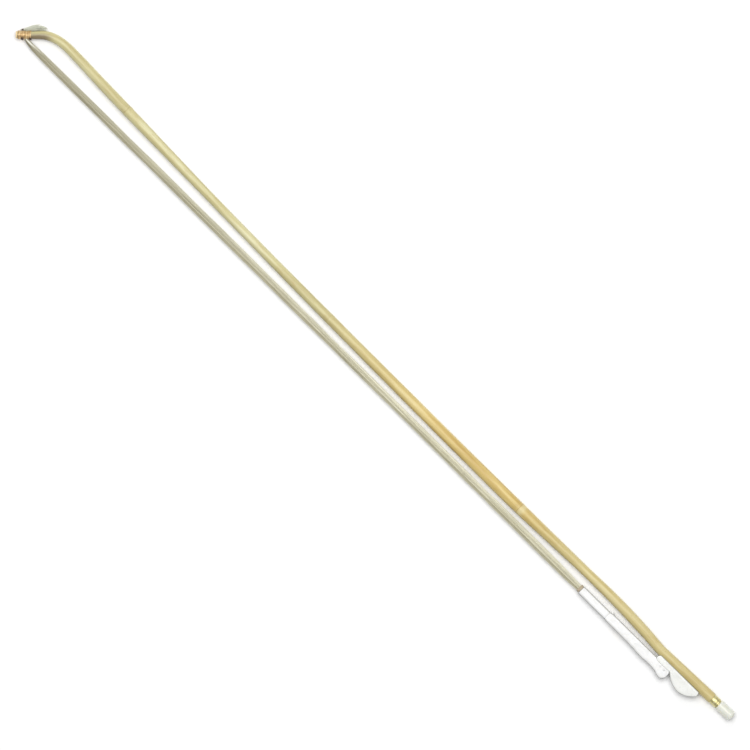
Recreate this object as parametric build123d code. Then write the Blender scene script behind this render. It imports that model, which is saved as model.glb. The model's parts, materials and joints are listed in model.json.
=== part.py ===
from build123d import *

import math
import os

# Erhu bow: a bent bamboo stick, a band of horsehair, and a frog that a screw pulls along the stick's tail.
#
# The bow lies on its side. +X runs along the hair from the tip to the adjuster button, +Y runs from the hair
# to the stick, and +Z is up. The origin is on the surface below the bow, under the middle of its outline.
# Lengths are in millimetres and angles in degrees.

# Height of the plane that holds the stick, the hair and the screw.
PLANE_Z = 5.1

# Tip: the straight, thin end of the cane, set at an angle to the hair. "Along the tip" is from its cut end.
TIP_END = (-417.4, -11.06)
TIP_ANGLE = 43.4
TIP_RADIUS = 3.15
TIP_THIN = 16.0
TIP_STRAIGHT = 25.0
TIP_STRAIGHT_RADIUS = 3.6

# Tail: the straight end of the cane, which the frog rides on. "Along the tail" is from its end.
TAIL_END = (394.4, 3.385)
TAIL_TILT = 1.4
TAIL_RADIUS = 4.65
TAIL_LENGTH = 58.0
TAIL_START_RADIUS = 4.25

# The cane's centreline between them, as x, y and radius.
CANE_STATIONS = [
    (-389.1, 10.55, 3.80),
    (-380.0, 11.80, 3.88),
    (-368.0, 11.65, 4.05),
    (-338.4, 10.49, 4.35),
    (-304.6, 9.40, 4.45),
    (-253.9, 7.97, 4.10),
    (-203.2, 6.65, 3.75),
    (-135.0, 5.32, 3.90),
    (-60.0, 4.36, 4.25),
    (25.0, 3.62, 4.60),
    (110.0, 3.20, 4.90),
    (166.9, 3.30, 4.95),
    (205.0, 3.92, 4.45),
    (240.0, 4.58, 4.00),
    (272.0, 4.85, 4.30),
    (290.0, 4.60, 4.48),
    (303.8, 4.00, 4.48),
    (318.0, 3.25, 4.35),
    (328.5, 2.42, 4.28),
]
END_PULL = 0.1
CANE_SECTIONS = 70

# Bamboo nodes: the station each is at, and how far its ridge stands out.
NODE_RIDGES = {4: 0.22, 8: 0.20, 11: 0.15}
NODE_WIDTH = 2.4
NODE_ROUNDING = 0.1

# Plug, wire whipping and hair hole at the tip.
PLUG_HEAD = 1.3
PLUG_DEPTH = 5.6
PLUG_EDGE = 0.4
PITH_RADIUS = 1.2
WHIPPING = (1.6, 13.4)
WHIPPING_SEAT = 3.18
WIRE = 0.56
HAIR_HOLE_AT = 9.0
HAIR_HOLE_RADIUS = 1.85
HAIR_HOLE_REACH = 3.8
TIP_WEDGE = (7.0, 8.1)
TIP_WEDGE_WIDTH = 2.4
TIP_WEDGE_REACH = 3.1

# Tail of the hair, laid back along the tip: along the tip, height above its axis, and half sizes.
TUFT_STATIONS = [
    (4.2, 4.50, 0.35, 1.2),
    (6.6, 4.50, 0.42, 1.5),
    (9.2, 4.75, 0.82, 1.9),
    (13.0, 5.40, 1.45, 2.4),
    (17.0, 6.05, 1.95, 2.8),
    (22.0, 6.20, 1.90, 3.0),
    (25.5, 5.80, 1.35, 2.7),
    (27.8, 5.30, 0.65, 1.8),
]
KNOT = (4.9, 6.7)
KNOT_HEIGHT = 4.50
KNOT_INNER = (0.52, 1.62)
KNOT_OUTER = (0.74, 2.10)

# Screw, eye and the mortise that the eye travels in, along the tail and across it.
FROG_LOOSEN = 3.0
FROG_TIGHTEN = 6.0
SCREW_PITCH = 0.7
SCREW_RADIUS = 1.70
SCREW_HOLE_RADIUS = 2.0
SCREW_TIP = -44.0
SCREW_HOLE_END = -46.0
FIT = 0.05
EYE_AT = -27.0
EYE_LENGTH = 4.6
EYE_WIDTH = 4.0
EYE_TOP = 2.3
EYE_BOTTOM = -6.4
EYE_STEM_RADIUS = 1.5
EYE_STEM_END = -10.0
EYE_SIDE_GAP = 0.3
MORTISE_END_GAP = 0.7
MORTISE_TOP = 2.7
TENON_RADIUS = 3.2
TENON_LENGTH = 6.0
FERRULE_RADIUS = 4.15
FERRULE_LENGTH = 7.0
FERRULE_EDGE = 0.35
WASHER_THICKNESS = 0.8
WASHER_RADIUS = 3.4
BUTTON_RADIUS = 4.75
BUTTON_END = 23.2
BUTTON_DOME = 2.0
BUTTON_EDGE = 0.5
TANG_RADIUS = 1.4
TANG_LENGTH = 10.0

# Frog. The fishtail is as thick as the bow is high, so that the bow rests on its flat side.
FISHTAIL_THICKNESS = 2 * PLANE_Z
FISHTAIL_EDGE = 0.7
SADDLE_GAP = 0.3
SADDLE_RUN_OUT = 6.0
FISHTAIL_TOP = -0.92
SEAM_Y = -6.2
SEAM_GAP = 0.04
NOSE = [(339.7, FISHTAIL_TOP), (336.7, -3.3), (338.8, SEAM_Y)]
NOTCH = (352.8, SEAM_Y)
LOBE = [NOTCH, (358.2, -10.1), (364.6, -12.7), (370.6, -13.15), (377.2, -10.9), (381.6, -7.4)]
LOBE_REAR = [(381.6, -7.4), (383.6, -3.4), (382.6, FISHTAIL_TOP)]
TONGUE = (341.6, 350.6, -9.8)
TONGUE_THICKNESS = 3.4
PIN_RADIUS = 0.8
PIN_PLACES = [(344.0, -8.0), (348.4, -8.0)]

# Arm that carries the hair, with the heel at its rear end.
ARM_THICKNESS = 9.2
ARM_EDGE = 1.6
ARM_FRONT = 282.4
ARM_TOP = -4.72
ARM_BOTTOM = [
    (ARM_FRONT, -13.15),
    (300.0, -13.3),
    (313.0, -13.5),
    (325.0, -14.25),
    (337.5, -13.9),
    (343.4, -14.35),
]
HEEL = [(343.4, -14.35), (347.4, -15.7), (350.4, -15.9), (353.0, -13.8)]
HEEL_REAR = [(353.0, -13.8), (353.9, -10.2), (352.8, SEAM_Y - SEAM_GAP)]

# Hair sleeve that plugs into the arm, the pin that locks it, and the lashing at its mouth.
HAIR_EXIT = 251.4
HAIR_AXIS_Y = -8.88
SLEEVE_HALF_Y = 3.85
SLEEVE_DROP = 0.25
SLEEVE_HALF_Z = 3.85
SLEEVE_CORNER = 2.8
SLEEVE_TENON_RADIUS = 3.25
SLEEVE_TENON_END = 290.0
ROOT_RADIUS = 2.5
SLEEVE_PIN_X = 284.4
SLEEVE_PIN_RADIUS = 1.2
SLEEVE_PIN_TOP = -3.3
SLEEVE_PIN_BOTTOM = -6.15
SLEEVE_PIN_DOME = 0.6
LASHING = (248.7, 251.35)
LASHING_INNER = (3.0, 2.8)
LASHING_OUTER = (3.55, 3.35)

# Pocket in the arm for the knotted end of the hair and the plug that closes it.
POCKET = (294.0, 304.0)
POCKET_HALF_Z = 2.7
POCKET_TOP = -6.1
POCKET_LID_TOP = -11.7
POCKET_LID_BOTTOM = -12.85
KNOT_ROOM = 5.2
KNOT_RADIUS = 2.65
POCKET_GAP = 0.05

# Hair: x, y and half sizes of its section.
HAIR_STATIONS = [
    (-411.5, -7.70, 1.70, 1.60),
    (-406.0, -8.10, 2.10, 1.95),
    (-398.5, -8.40, 2.75, 2.45),
    (-388.0, -8.42, 3.15, 2.80),
    (-360.0, -8.45, 3.40, 2.90),
    (-300.0, -8.52, 3.55, 2.90),
    (-80.0, -8.66, 3.60, 2.90),
    (140.0, -8.80, 3.60, 2.90),
    (236.0, -8.87, 3.50, 2.85),
    (244.0, HAIR_AXIS_Y, 3.20, 2.80),
    (248.4, HAIR_AXIS_Y, 2.92, 2.72),
]

tip_frame = Plane(
    origin=(*TIP_END, PLANE_Z),
    x_dir=(math.cos(math.radians(TIP_ANGLE)), math.sin(math.radians(TIP_ANGLE)), 0),
    z_dir=(0, 0, 1),
)
tail_frame = Plane(
    origin=(*TAIL_END, PLANE_Z),
    x_dir=(math.cos(math.radians(TAIL_TILT)), math.sin(math.radians(TAIL_TILT)), 0),
    z_dir=(0, 0, 1),
)
hair_frame = Plane(origin=(0, HAIR_AXIS_Y, PLANE_Z), x_dir=(1, 0, 0), z_dir=(0, 0, 1))


def rod(frame, start, end, radius, height=0.0):
    """Cylinder along a frame's x axis, from start to end, at a height above that axis."""
    middle = Pos((start + end) / 2, height, 0) * Rot(0, 90, 0)
    return frame.location * middle * Cylinder(radius, end - start)


def taper(frame, start, end, start_radius, end_radius):
    """Cone along a frame's x axis, from start to end."""
    middle = Pos((start + end) / 2, 0, 0) * Rot(0, 90, 0)
    return frame.location * middle * Cone(start_radius, end_radius, end - start)


def crossing(frame, at, low, high, radius):
    """Cylinder along a frame's y axis, from low to high, at a place along its x axis."""
    middle = Pos(at, (low + high) / 2, 0) * Rot(90, 0, 0)
    return frame.location * middle * Cylinder(radius, high - low)


def slab(frame, start, end, low, high, half_z):
    """Box from start to end along a frame's x axis and from low to high along its y axis."""
    middle = Pos((start + end) / 2, (low + high) / 2, 0)
    return frame.location * middle * Box(end - start, high - low, 2 * half_z)


def plate(outline, thickness):
    """Closed outline in the bow's plane, thickened evenly on both sides."""
    return extrude(Pos(0, 0, PLANE_Z) * make_face(outline), amount=thickness / 2, both=True)


def rim_edges(shape):
    """The edges round a plate's two flat sides."""
    groups = shape.edges().group_by(Axis.Z)
    return groups[0] + groups[-1]


def oval(x, y, half_y, half_z):
    """Ellipse at x, y, square to the bow's length."""
    return Plane(origin=(x, y, PLANE_Z), x_dir=(0, 1, 0), z_dir=(1, 0, 0)) * Ellipse(half_y, half_z)


def oval_rod(start, end, half_y, half_z):
    """Elliptical bar along the hair's axis."""
    return extrude(oval(start, HAIR_AXIS_Y, half_y, half_z), amount=end - start)


def cane_line():
    """The cane's centreline from the tip's thin end to the tail's start, and each station's place on it."""
    stations = [
        (tip_frame.from_local_coords(Vector(TIP_THIN, 0, 0)), TIP_RADIUS),
        (tip_frame.from_local_coords(Vector(TIP_STRAIGHT, 0, 0)), TIP_STRAIGHT_RADIUS),
    ]
    stations += [(Vector(x, y, PLANE_Z), radius) for x, y, radius in CANE_STATIONS]
    stations += [(tail_frame.from_local_coords(Vector(-TAIL_LENGTH, 0, 0)), TAIL_START_RADIUS)]
    ends = [tip_frame.x_dir, tail_frame.x_dir]
    line = Spline([point for point, _ in stations], tangents=ends, tangent_scalars=[END_PULL, END_PULL])
    places = [(line.param_at_point(point), radius) for point, radius in stations]
    return line, places


def radius_at(place, places):
    """Radius at a place on the centreline, by straight lines between the stations."""
    for (before, low), (after, high) in zip(places, places[1:]):
        if place <= after:
            return low + (high - low) * (place - before) / (after - before)
    return places[-1][1]


def cane_plane(line, place):
    """Plane square to the centreline at a place on it."""
    return Plane(origin=line @ place, x_dir=(0, 0, 1), z_dir=line % place)


def bamboo_stick():
    """Cane with its node ridges, the hair hole at the tip, and the screw's bore and mortise at the tail."""
    line, places = cane_line()
    sections = []
    for section in range(CANE_SECTIONS + 1):
        place = section / CANE_SECTIONS
        sections.append(cane_plane(line, place) * Circle(radius_at(place, places)))
    cane = loft(sections)
    cane += rod(tip_frame, PLUG_HEAD, TIP_THIN, TIP_RADIUS)
    cane += taper(tail_frame, -TAIL_LENGTH, 0, TAIL_START_RADIUS, TAIL_RADIUS)
    for station, ridge in NODE_RIDGES.items():
        place, radius = places[station + 2]
        ring = Cylinder(radius + ridge, NODE_WIDTH)
        ring = fillet(ring.edges().filter_by(GeomType.CIRCLE), NODE_ROUNDING)
        cane += cane_plane(line, place).location * ring
    cane += rod(tail_frame, 0, TENON_LENGTH, TENON_RADIUS)
    cane -= rod(tail_frame, SCREW_HOLE_END, TENON_LENGTH, SCREW_HOLE_RADIUS)
    cane -= mortise()
    cane -= rod(tip_frame, PLUG_HEAD, PLUG_DEPTH, PITH_RADIUS)
    cane -= crossing(tip_frame, HAIR_HOLE_AT, -HAIR_HOLE_REACH, HAIR_HOLE_REACH, HAIR_HOLE_RADIUS)
    return cane


def mortise():
    """Slot in the cane's underside, as long as the eye's travel."""
    start = EYE_AT - EYE_LENGTH / 2 - FROG_LOOSEN - MORTISE_END_GAP
    end = EYE_AT + EYE_LENGTH / 2 + FROG_TIGHTEN + MORTISE_END_GAP
    return slab(tail_frame, start, end, -2 * TAIL_RADIUS, MORTISE_TOP, EYE_WIDTH / 2 + EYE_SIDE_GAP)


def tip_end_plug():
    """Plug with a head that covers the cane's cut end."""
    head = rod(tip_frame, 0, PLUG_HEAD, TIP_RADIUS)
    rims = head.edges().filter_by(GeomType.CIRCLE).sort_by(Axis.X)
    head = fillet(rims[0], PLUG_EDGE)
    return head + rod(tip_frame, PLUG_HEAD, PLUG_DEPTH - FIT, PITH_RADIUS - FIT)


def tip_whipping():
    """Wire wound round the tip, each turn a rounded ring, with an opening for the hair on both sides."""
    start, end = WHIPPING
    turns = round((end - start) / WIRE)
    step = (end - start) / turns
    crest = WHIPPING_SEAT + WIRE
    valley = WHIPPING_SEAT + WIRE / 2
    edges = [Line((start, valley), (start, WHIPPING_SEAT))]
    edges.append(Line((start, WHIPPING_SEAT), (end, WHIPPING_SEAT)))
    edges.append(Line((end, WHIPPING_SEAT), (end, valley)))
    for turn in range(turns):
        left = start + turn * step
        edges.append(ThreePointArc((left, valley), (left + step / 2, crest), (left + step, valley)))
    coil = tip_frame.location * revolve(make_face(Curve() + edges), axis=Axis.X)
    reach = HAIR_HOLE_REACH + 1
    return coil - crossing(tip_frame, HAIR_HOLE_AT, -reach, reach, HAIR_HOLE_RADIUS)


def tip_hair():
    """The hair in its hole through the tip, and the wedge that jams it there."""
    fill = crossing(tip_frame, HAIR_HOLE_AT, -HAIR_HOLE_REACH, HAIR_HOLE_REACH, HAIR_HOLE_RADIUS - FIT)
    fill &= rod(tip_frame, 0, TIP_THIN, WHIPPING_SEAT + WIRE)
    start, end = TIP_WEDGE
    half = TIP_WEDGE_WIDTH / 2
    wedge = fill & slab(tip_frame, start, end, -TIP_WEDGE_REACH, TIP_WEDGE_REACH, half)
    room = slab(tip_frame, start, end + FIT, -TIP_WEDGE_REACH - FIT, TIP_WEDGE_REACH + FIT, half + FIT)
    return fill - room, wedge


def tip_oval(along, height, half_y, half_z):
    """Ellipse square to the tip, at a place along it and a height above its axis."""
    origin = tip_frame.from_local_coords(Vector(along, height, 0))
    return Plane(origin=origin, x_dir=tip_frame.y_dir, z_dir=tip_frame.x_dir) * Ellipse(half_y, half_z)


def tip_hair_tuft():
    """Tail of the hair, brushed back along the outer side of the tip."""
    return loft([tip_oval(*station) for station in TUFT_STATIONS])


def tip_hair_knot():
    """Band of thread that ties the hair off outside its hole."""
    start, end = KNOT
    outer = extrude(tip_oval(start, KNOT_HEIGHT, *KNOT_OUTER), amount=end - start)
    return outer - extrude(tip_oval(start, KNOT_HEIGHT, *KNOT_INNER), amount=end - start)


def tail_ferrule():
    """Brass cap on the cane's tenon, bored for the screw."""
    shell = rod(tail_frame, SEAM_GAP, FERRULE_LENGTH, FERRULE_RADIUS)
    shell = fillet(shell.edges().filter_by(GeomType.CIRCLE), FERRULE_EDGE)
    shell -= rod(tail_frame, 0, TENON_LENGTH + SEAM_GAP, TENON_RADIUS + SEAM_GAP)
    return shell - rod(tail_frame, 0, FERRULE_LENGTH, SCREW_RADIUS + FIT)


def adjuster():
    """Button, screw and washer, all on the tail's axis."""
    face = FERRULE_LENGTH + FIT
    seat = face + WASHER_THICKNESS
    tang_end = seat + TANG_LENGTH
    washer = rod(tail_frame, face, seat, WASHER_RADIUS)
    washer -= rod(tail_frame, face, seat, SCREW_RADIUS + SEAM_GAP)
    button = rod(tail_frame, seat, BUTTON_END, BUTTON_RADIUS)
    rims = button.edges().filter_by(GeomType.CIRCLE).sort_by(Axis.X)
    button = fillet(rims[-1], BUTTON_DOME)
    rims = button.edges().filter_by(GeomType.CIRCLE).sort_by(Axis.X)
    button = fillet(rims[0], BUTTON_EDGE)
    button -= rod(tail_frame, seat, tang_end, TANG_RADIUS)
    screw = rod(tail_frame, SCREW_TIP, seat, SCREW_RADIUS)
    screw += rod(tail_frame, seat, tang_end - FIT, TANG_RADIUS)
    return button, screw, washer


def frog_fishtail():
    """Block under the cane: a nose, a half-moon lobe, a saddle for the cane and a tongue for the arm."""
    outline = Curve() + [
        Line(LOBE_REAR[-1], NOSE[0]),
        ThreePointArc(*NOSE),
        Line(NOSE[-1], NOTCH),
        Spline(LOBE),
        ThreePointArc(*LOBE_REAR),
    ]
    block = plate(outline, FISHTAIL_THICKNESS)
    block = fillet(rim_edges(block), FISHTAIL_EDGE)
    start, end, bottom = TONGUE
    block += slab(Plane.XY.offset(PLANE_Z), start, end, bottom, SEAM_Y + 1, TONGUE_THICKNESS / 2)
    front = -TAIL_LENGTH - SADDLE_RUN_OUT
    block -= taper(tail_frame, front, 0, TAIL_START_RADIUS + SADDLE_GAP, TAIL_RADIUS + SADDLE_GAP)
    half = EYE_LENGTH / 2 + FIT
    block -= slab(tail_frame, EYE_AT - half, EYE_AT + half, EYE_BOTTOM - FIT, 0, EYE_WIDTH / 2 + FIT)
    block -= crossing(tail_frame, EYE_AT, EYE_STEM_END - FIT, 0, EYE_STEM_RADIUS + FIT)
    for x, y in PIN_PLACES:
        block -= Pos(x, y, PLANE_Z) * Cylinder(PIN_RADIUS + FIT, ARM_THICKNESS)
    return block


def screw_eye():
    """Brass block that the screw threads through, with a stem set in the fishtail."""
    half = EYE_LENGTH / 2
    eye = slab(tail_frame, EYE_AT - half, EYE_AT + half, EYE_BOTTOM, EYE_TOP, EYE_WIDTH / 2)
    eye += crossing(tail_frame, EYE_AT, EYE_STEM_END, EYE_BOTTOM, EYE_STEM_RADIUS)
    return eye - rod(tail_frame, EYE_AT - half, EYE_AT + half, SCREW_RADIUS + FIT)


def frog_arm():
    """Bar with a heel, slotted for the fishtail's tongue, bored for the sleeve, and with a pocket."""
    top_rear = (NOSE[-1][0] - SEAM_GAP, ARM_TOP)
    seam_front = (NOSE[-1][0] - SEAM_GAP, SEAM_Y - SEAM_GAP)
    outline = Curve() + [
        Line((ARM_FRONT, ARM_TOP), top_rear),
        Line(top_rear, seam_front),
        Line(seam_front, HEEL_REAR[-1]),
        ThreePointArc(*HEEL_REAR),
        Spline(HEEL),
        Spline(ARM_BOTTOM),
        Line(ARM_BOTTOM[0], (ARM_FRONT, ARM_TOP)),
    ]
    arm = plate(outline, ARM_THICKNESS)
    arm = fillet(rim_edges(arm), ARM_EDGE)
    arm -= nose_room()
    start, end, bottom = TONGUE
    half = TONGUE_THICKNESS / 2 + SEAM_GAP
    middle = Plane.XY.offset(PLANE_Z)
    arm -= slab(middle, start - SEAM_GAP, end + SEAM_GAP, bottom - SEAM_GAP, SEAM_Y, half)
    for x, y in PIN_PLACES:
        arm -= Pos(x, y, PLANE_Z) * Cylinder(PIN_RADIUS + FIT, ARM_THICKNESS)
    arm -= rod(hair_frame, ARM_FRONT, SLEEVE_TENON_END + FIT, SLEEVE_TENON_RADIUS + FIT)
    arm -= rod(hair_frame, ARM_FRONT, POCKET[0] + 1, ROOT_RADIUS + FIT)
    arm -= crossing(Plane.XY.offset(PLANE_Z), SLEEVE_PIN_X, SLEEVE_PIN_BOTTOM, 0, SLEEVE_PIN_RADIUS + FIT)
    arm -= slab(middle, *POCKET, -20, POCKET_TOP, POCKET_HALF_Z)
    return arm


def nose_room():
    """Space in front of the seam that the fishtail's rounded nose takes up."""
    grown = [(x - SEAM_GAP, y) for x, y in NOSE]
    outline = Curve() + [
        ThreePointArc(*grown),
        Line(grown[-1], (NOTCH[0], SEAM_Y)),
        Line((NOTCH[0], SEAM_Y), (NOTCH[0], FISHTAIL_TOP)),
        Line((NOTCH[0], FISHTAIL_TOP), grown[0]),
    ]
    return plate(outline, FISHTAIL_THICKNESS)


def arm_pins():
    """Two pins across the arm and the fishtail's tongue."""
    pins = [Pos(x, y, PLANE_Z) * Cylinder(PIN_RADIUS, ARM_THICKNESS) for x, y in PIN_PLACES]
    return Compound(children=pins)


def hair_sleeve():
    """Rounded tube that the hair enters, with a round tenon that plugs into the arm."""
    middle_y = HAIR_AXIS_Y - SLEEVE_DROP
    section = Plane(origin=(HAIR_EXIT, middle_y, PLANE_Z), x_dir=(0, 1, 0), z_dir=(1, 0, 0))
    profile = section * RectangleRounded(2 * SLEEVE_HALF_Y, 2 * SLEEVE_HALF_Z, SLEEVE_CORNER)
    sleeve = extrude(profile, amount=ARM_FRONT - SEAM_GAP - HAIR_EXIT)
    sleeve += rod(hair_frame, HAIR_EXIT + 1, SLEEVE_TENON_END, SLEEVE_TENON_RADIUS)
    sleeve -= rod(hair_frame, HAIR_EXIT, SLEEVE_TENON_END, ROOT_RADIUS + FIT)
    pin_room = crossing(
        Plane.XY.offset(PLANE_Z), SLEEVE_PIN_X, SLEEVE_PIN_BOTTOM - FIT, 0, SLEEVE_PIN_RADIUS + FIT
    )
    return sleeve - pin_room


def sleeve_pin():
    """Pin through the top of the arm that locks the sleeve; its head is the nub on the arm."""
    pin = crossing(
        Plane.XY.offset(PLANE_Z), SLEEVE_PIN_X, SLEEVE_PIN_BOTTOM, SLEEVE_PIN_TOP, SLEEVE_PIN_RADIUS
    )
    rims = pin.edges().filter_by(GeomType.CIRCLE).sort_by(Axis.Y)
    return fillet(rims[-1], SLEEVE_PIN_DOME)


def hair_lashing():
    """Band of thread round the hair at the sleeve's mouth."""
    start, end = LASHING
    return oval_rod(start, end, *LASHING_OUTER) - oval_rod(start, end, *LASHING_INNER)


def frog_hair_root():
    """Hair inside the sleeve and the arm, as far as its knot."""
    return rod(hair_frame, HAIR_EXIT + FIT, POCKET[0] + POCKET_GAP, ROOT_RADIUS)


def frog_hair_knot():
    """Knotted end of the hair in the arm's pocket."""
    start = POCKET[0] + 2 * POCKET_GAP
    knot = rod(hair_frame, start, start + KNOT_ROOM, KNOT_RADIUS)
    return fillet(knot.edges().filter_by(GeomType.CIRCLE), 1.0)


def pocket_plug():
    """Wooden plug that fills the pocket behind and below the knot."""
    start, end = POCKET
    half = POCKET_HALF_Z - POCKET_GAP
    middle = Plane.XY.offset(PLANE_Z)
    behind = start + 3 * POCKET_GAP + KNOT_ROOM
    plug = slab(middle, behind, end - POCKET_GAP, POCKET_LID_BOTTOM, POCKET_TOP - POCKET_GAP, half)
    return plug + slab(middle, start + POCKET_GAP, end - POCKET_GAP, POCKET_LID_BOTTOM, POCKET_LID_TOP, half)


def hair_band():
    """Horsehair from the tip to the lashing, cut to the tip's round side."""
    band = loft([oval(*station) for station in HAIR_STATIONS], ruled=True)
    x, _, half_y, half_z = HAIR_STATIONS[-1]
    band += oval_rod(x, HAIR_EXIT, half_y, half_z)
    return band - rod(tip_frame, 0, TIP_STRAIGHT, WHIPPING_SEAT + WIRE + FIT)


root, wedge = tip_hair()
button, screw, washer = adjuster()
parts = {
    "bamboo_stick": bamboo_stick(),
    "tip_end_plug": tip_end_plug(),
    "tip_whipping": tip_whipping(),
    "tip_hair_root": root,
    "tip_hair_wedge": wedge,
    "tip_hair_tuft": tip_hair_tuft(),
    "tip_hair_knot": tip_hair_knot(),
    "hair_band": hair_band(),
    "tail_ferrule": tail_ferrule(),
    "adjuster_button": button,
    "adjuster_screw": screw,
    "thrust_washer": washer,
    "frog_fishtail": frog_fishtail(),
    "frog_arm": frog_arm(),
    "arm_pins": arm_pins(),
    "hair_sleeve": hair_sleeve(),
    "sleeve_pin": sleeve_pin(),
    "hair_lashing": hair_lashing(),
    "screw_eye": screw_eye(),
    "frog_hair_root": frog_hair_root(),
    "frog_hair_knot": frog_hair_knot(),
    "pocket_plug": pocket_plug(),
}

os.makedirs("parts", exist_ok=True)
for name, shape in parts.items():
    export_step(shape, f"parts/{name}.step")
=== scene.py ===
import json
import math

import bmesh
import bpy
import numpy as np
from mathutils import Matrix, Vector

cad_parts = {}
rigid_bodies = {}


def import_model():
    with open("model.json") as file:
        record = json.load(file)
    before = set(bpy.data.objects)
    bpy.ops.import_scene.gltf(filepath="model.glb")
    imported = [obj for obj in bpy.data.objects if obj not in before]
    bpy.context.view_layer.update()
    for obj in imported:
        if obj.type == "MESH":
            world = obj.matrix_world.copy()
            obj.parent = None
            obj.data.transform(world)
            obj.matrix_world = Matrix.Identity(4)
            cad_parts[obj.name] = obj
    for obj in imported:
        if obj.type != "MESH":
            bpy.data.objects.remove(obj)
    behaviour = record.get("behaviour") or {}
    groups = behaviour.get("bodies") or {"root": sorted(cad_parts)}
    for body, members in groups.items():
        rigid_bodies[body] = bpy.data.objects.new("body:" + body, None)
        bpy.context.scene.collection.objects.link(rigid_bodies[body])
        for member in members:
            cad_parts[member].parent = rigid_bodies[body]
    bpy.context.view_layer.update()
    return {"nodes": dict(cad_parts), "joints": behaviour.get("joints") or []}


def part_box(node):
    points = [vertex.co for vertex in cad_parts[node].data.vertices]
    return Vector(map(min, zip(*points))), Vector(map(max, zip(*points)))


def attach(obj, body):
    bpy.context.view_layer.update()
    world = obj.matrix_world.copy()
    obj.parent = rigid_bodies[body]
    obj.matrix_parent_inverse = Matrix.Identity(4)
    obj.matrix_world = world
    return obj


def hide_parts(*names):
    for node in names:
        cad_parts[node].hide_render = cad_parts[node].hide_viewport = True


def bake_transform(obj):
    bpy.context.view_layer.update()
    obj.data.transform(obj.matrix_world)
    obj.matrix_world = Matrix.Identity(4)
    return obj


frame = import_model()
scene = bpy.context.scene
rng = np.random.default_rng(41)

# Everything below is worked out in millimetres and turned into metres when a mesh is made.
MM = 0.001
FULL_TURN = 2 * math.pi
QUARTER_TURN = math.pi / 2
UP = np.array((0.0, 0.0, 1.0))
ACROSS = np.array((0.0, 1.0, 0.0))


# ---------------------------------------------------------------- small sums
def unit(vectors):
    """Vectors scaled to length 1."""
    return vectors / np.linalg.norm(vectors, axis=-1, keepdims=True)


def circle(count):
    """Even angles round a full turn."""
    return np.linspace(0, FULL_TURN, count, endpoint=False)


def bell(away, width):
    """1 in the middle, falling to nearly 0 at twice the width."""
    return np.exp(-(away / width) ** 2)


def fade(value, zero, one):
    """0 at one value and beyond it, 1 at the other, and straight in between."""
    return np.clip((value - zero) / (one - zero), 0, 1)


def ease(share):
    """0 to 1 with a level start and a level end."""
    return share * share * (3 - 2 * share)


def distances(points):
    """How far along a line of points each one lies."""
    return np.concatenate([[0], np.cumsum(np.linalg.norm(np.diff(points, axis=0), axis=1))])


def smooth_through(knots, values, places, ends=(None, None)):
    """Values at places, on a smooth line through the knots. Each end may have a given slope."""
    knots = np.asarray(knots, float)
    values = np.asarray(values, float)
    if values.ndim == 1:
        values = values[:, None]
    steps = np.diff(knots)[:, None]
    slopes = np.diff(values, axis=0) / steps
    tangents = np.empty_like(values)
    tangents[1:-1] = (slopes[:-1] * steps[1:] + slopes[1:] * steps[:-1]) / (steps[:-1] + steps[1:])
    tangents[0] = slopes[0] if ends[0] is None else ends[0]
    tangents[-1] = slopes[-1] if ends[1] is None else ends[1]
    places = np.asarray(places, float)
    i = np.clip(np.searchsorted(knots, places, side="right") - 1, 0, len(knots) - 2)
    h = (knots[i + 1] - knots[i])[:, None]
    t = np.clip((places - knots[i])[:, None] / h, 0, 1)
    out = (2 * t**3 - 3 * t**2 + 1) * values[i] + (t**3 - 2 * t**2 + t) * h * tangents[i]
    out += (3 * t**2 - 2 * t**3) * values[i + 1] + (t**3 - t**2) * h * tangents[i + 1]
    return out[:, 0] if out.shape[1] == 1 else out


class Axes:
    """A right-handed frame: a point, a direction along it and two across it."""

    def __init__(self, origin, along, across=None):
        self.o = np.array(origin, float)
        self.x = np.array(along, float)
        self.y = np.cross(UP, self.x) if across is None else np.array(across, float)
        self.z = np.cross(self.x, self.y)

    def at(self, along, across=0.0, up=0.0):
        """Point in the world; the three numbers may be arrays."""
        along, across, up = np.broadcast_arrays(along, across, up)
        return self.o + along[..., None] * self.x + across[..., None] * self.y + up[..., None] * self.z

    def about(self, along, radius, angle):
        """Point at an angle about the axis; the three numbers may be arrays."""
        return self.at(along, radius * np.cos(angle), radius * np.sin(angle))


# ---------------------------------------------------------------- places taken from the frame
def low_high(node):
    """Lowest and highest corner of a CAD node, in mm."""
    low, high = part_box(node)
    return np.array(low) / MM, np.array(high) / MM


spin = next(joint for joint in frame["joints"] if joint["name"] == "adjuster_spin")
TAIL_END = np.array(spin["pos_m"]) / MM
TAIL_X = unit(-np.array(spin["axis"]))
PLANE_Z = TAIL_END[2]
TIP_ANGLE = math.radians(43.4)
TIP_X = np.array((math.cos(TIP_ANGLE), math.sin(TIP_ANGLE), 0.0))
TIP_END = np.array((-417.4, -11.06, PLANE_Z))

sleeve_low, sleeve_high = low_high("hair_sleeve")
root_low, root_high = low_high("frog_hair_root")
HAIR_Y = (root_low[1] + root_high[1]) / 2
SLEEVE_Y = (sleeve_low[1] + sleeve_high[1]) / 2
SLEEVE_HALF_Y = (sleeve_high[1] - sleeve_low[1]) / 2
SLEEVE_FRONT = float(sleeve_low[0])
ARM_FRONT = float(low_high("frog_arm")[0][0])

tip = Axes(TIP_END, TIP_X)
tail = Axes(TAIL_END, TAIL_X)
bow = Axes((0.0, 0.0, PLANE_Z), (1.0, 0.0, 0.0))
hair = Axes((0.0, HAIR_Y, PLANE_Z), (1.0, 0.0, 0.0))


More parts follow.
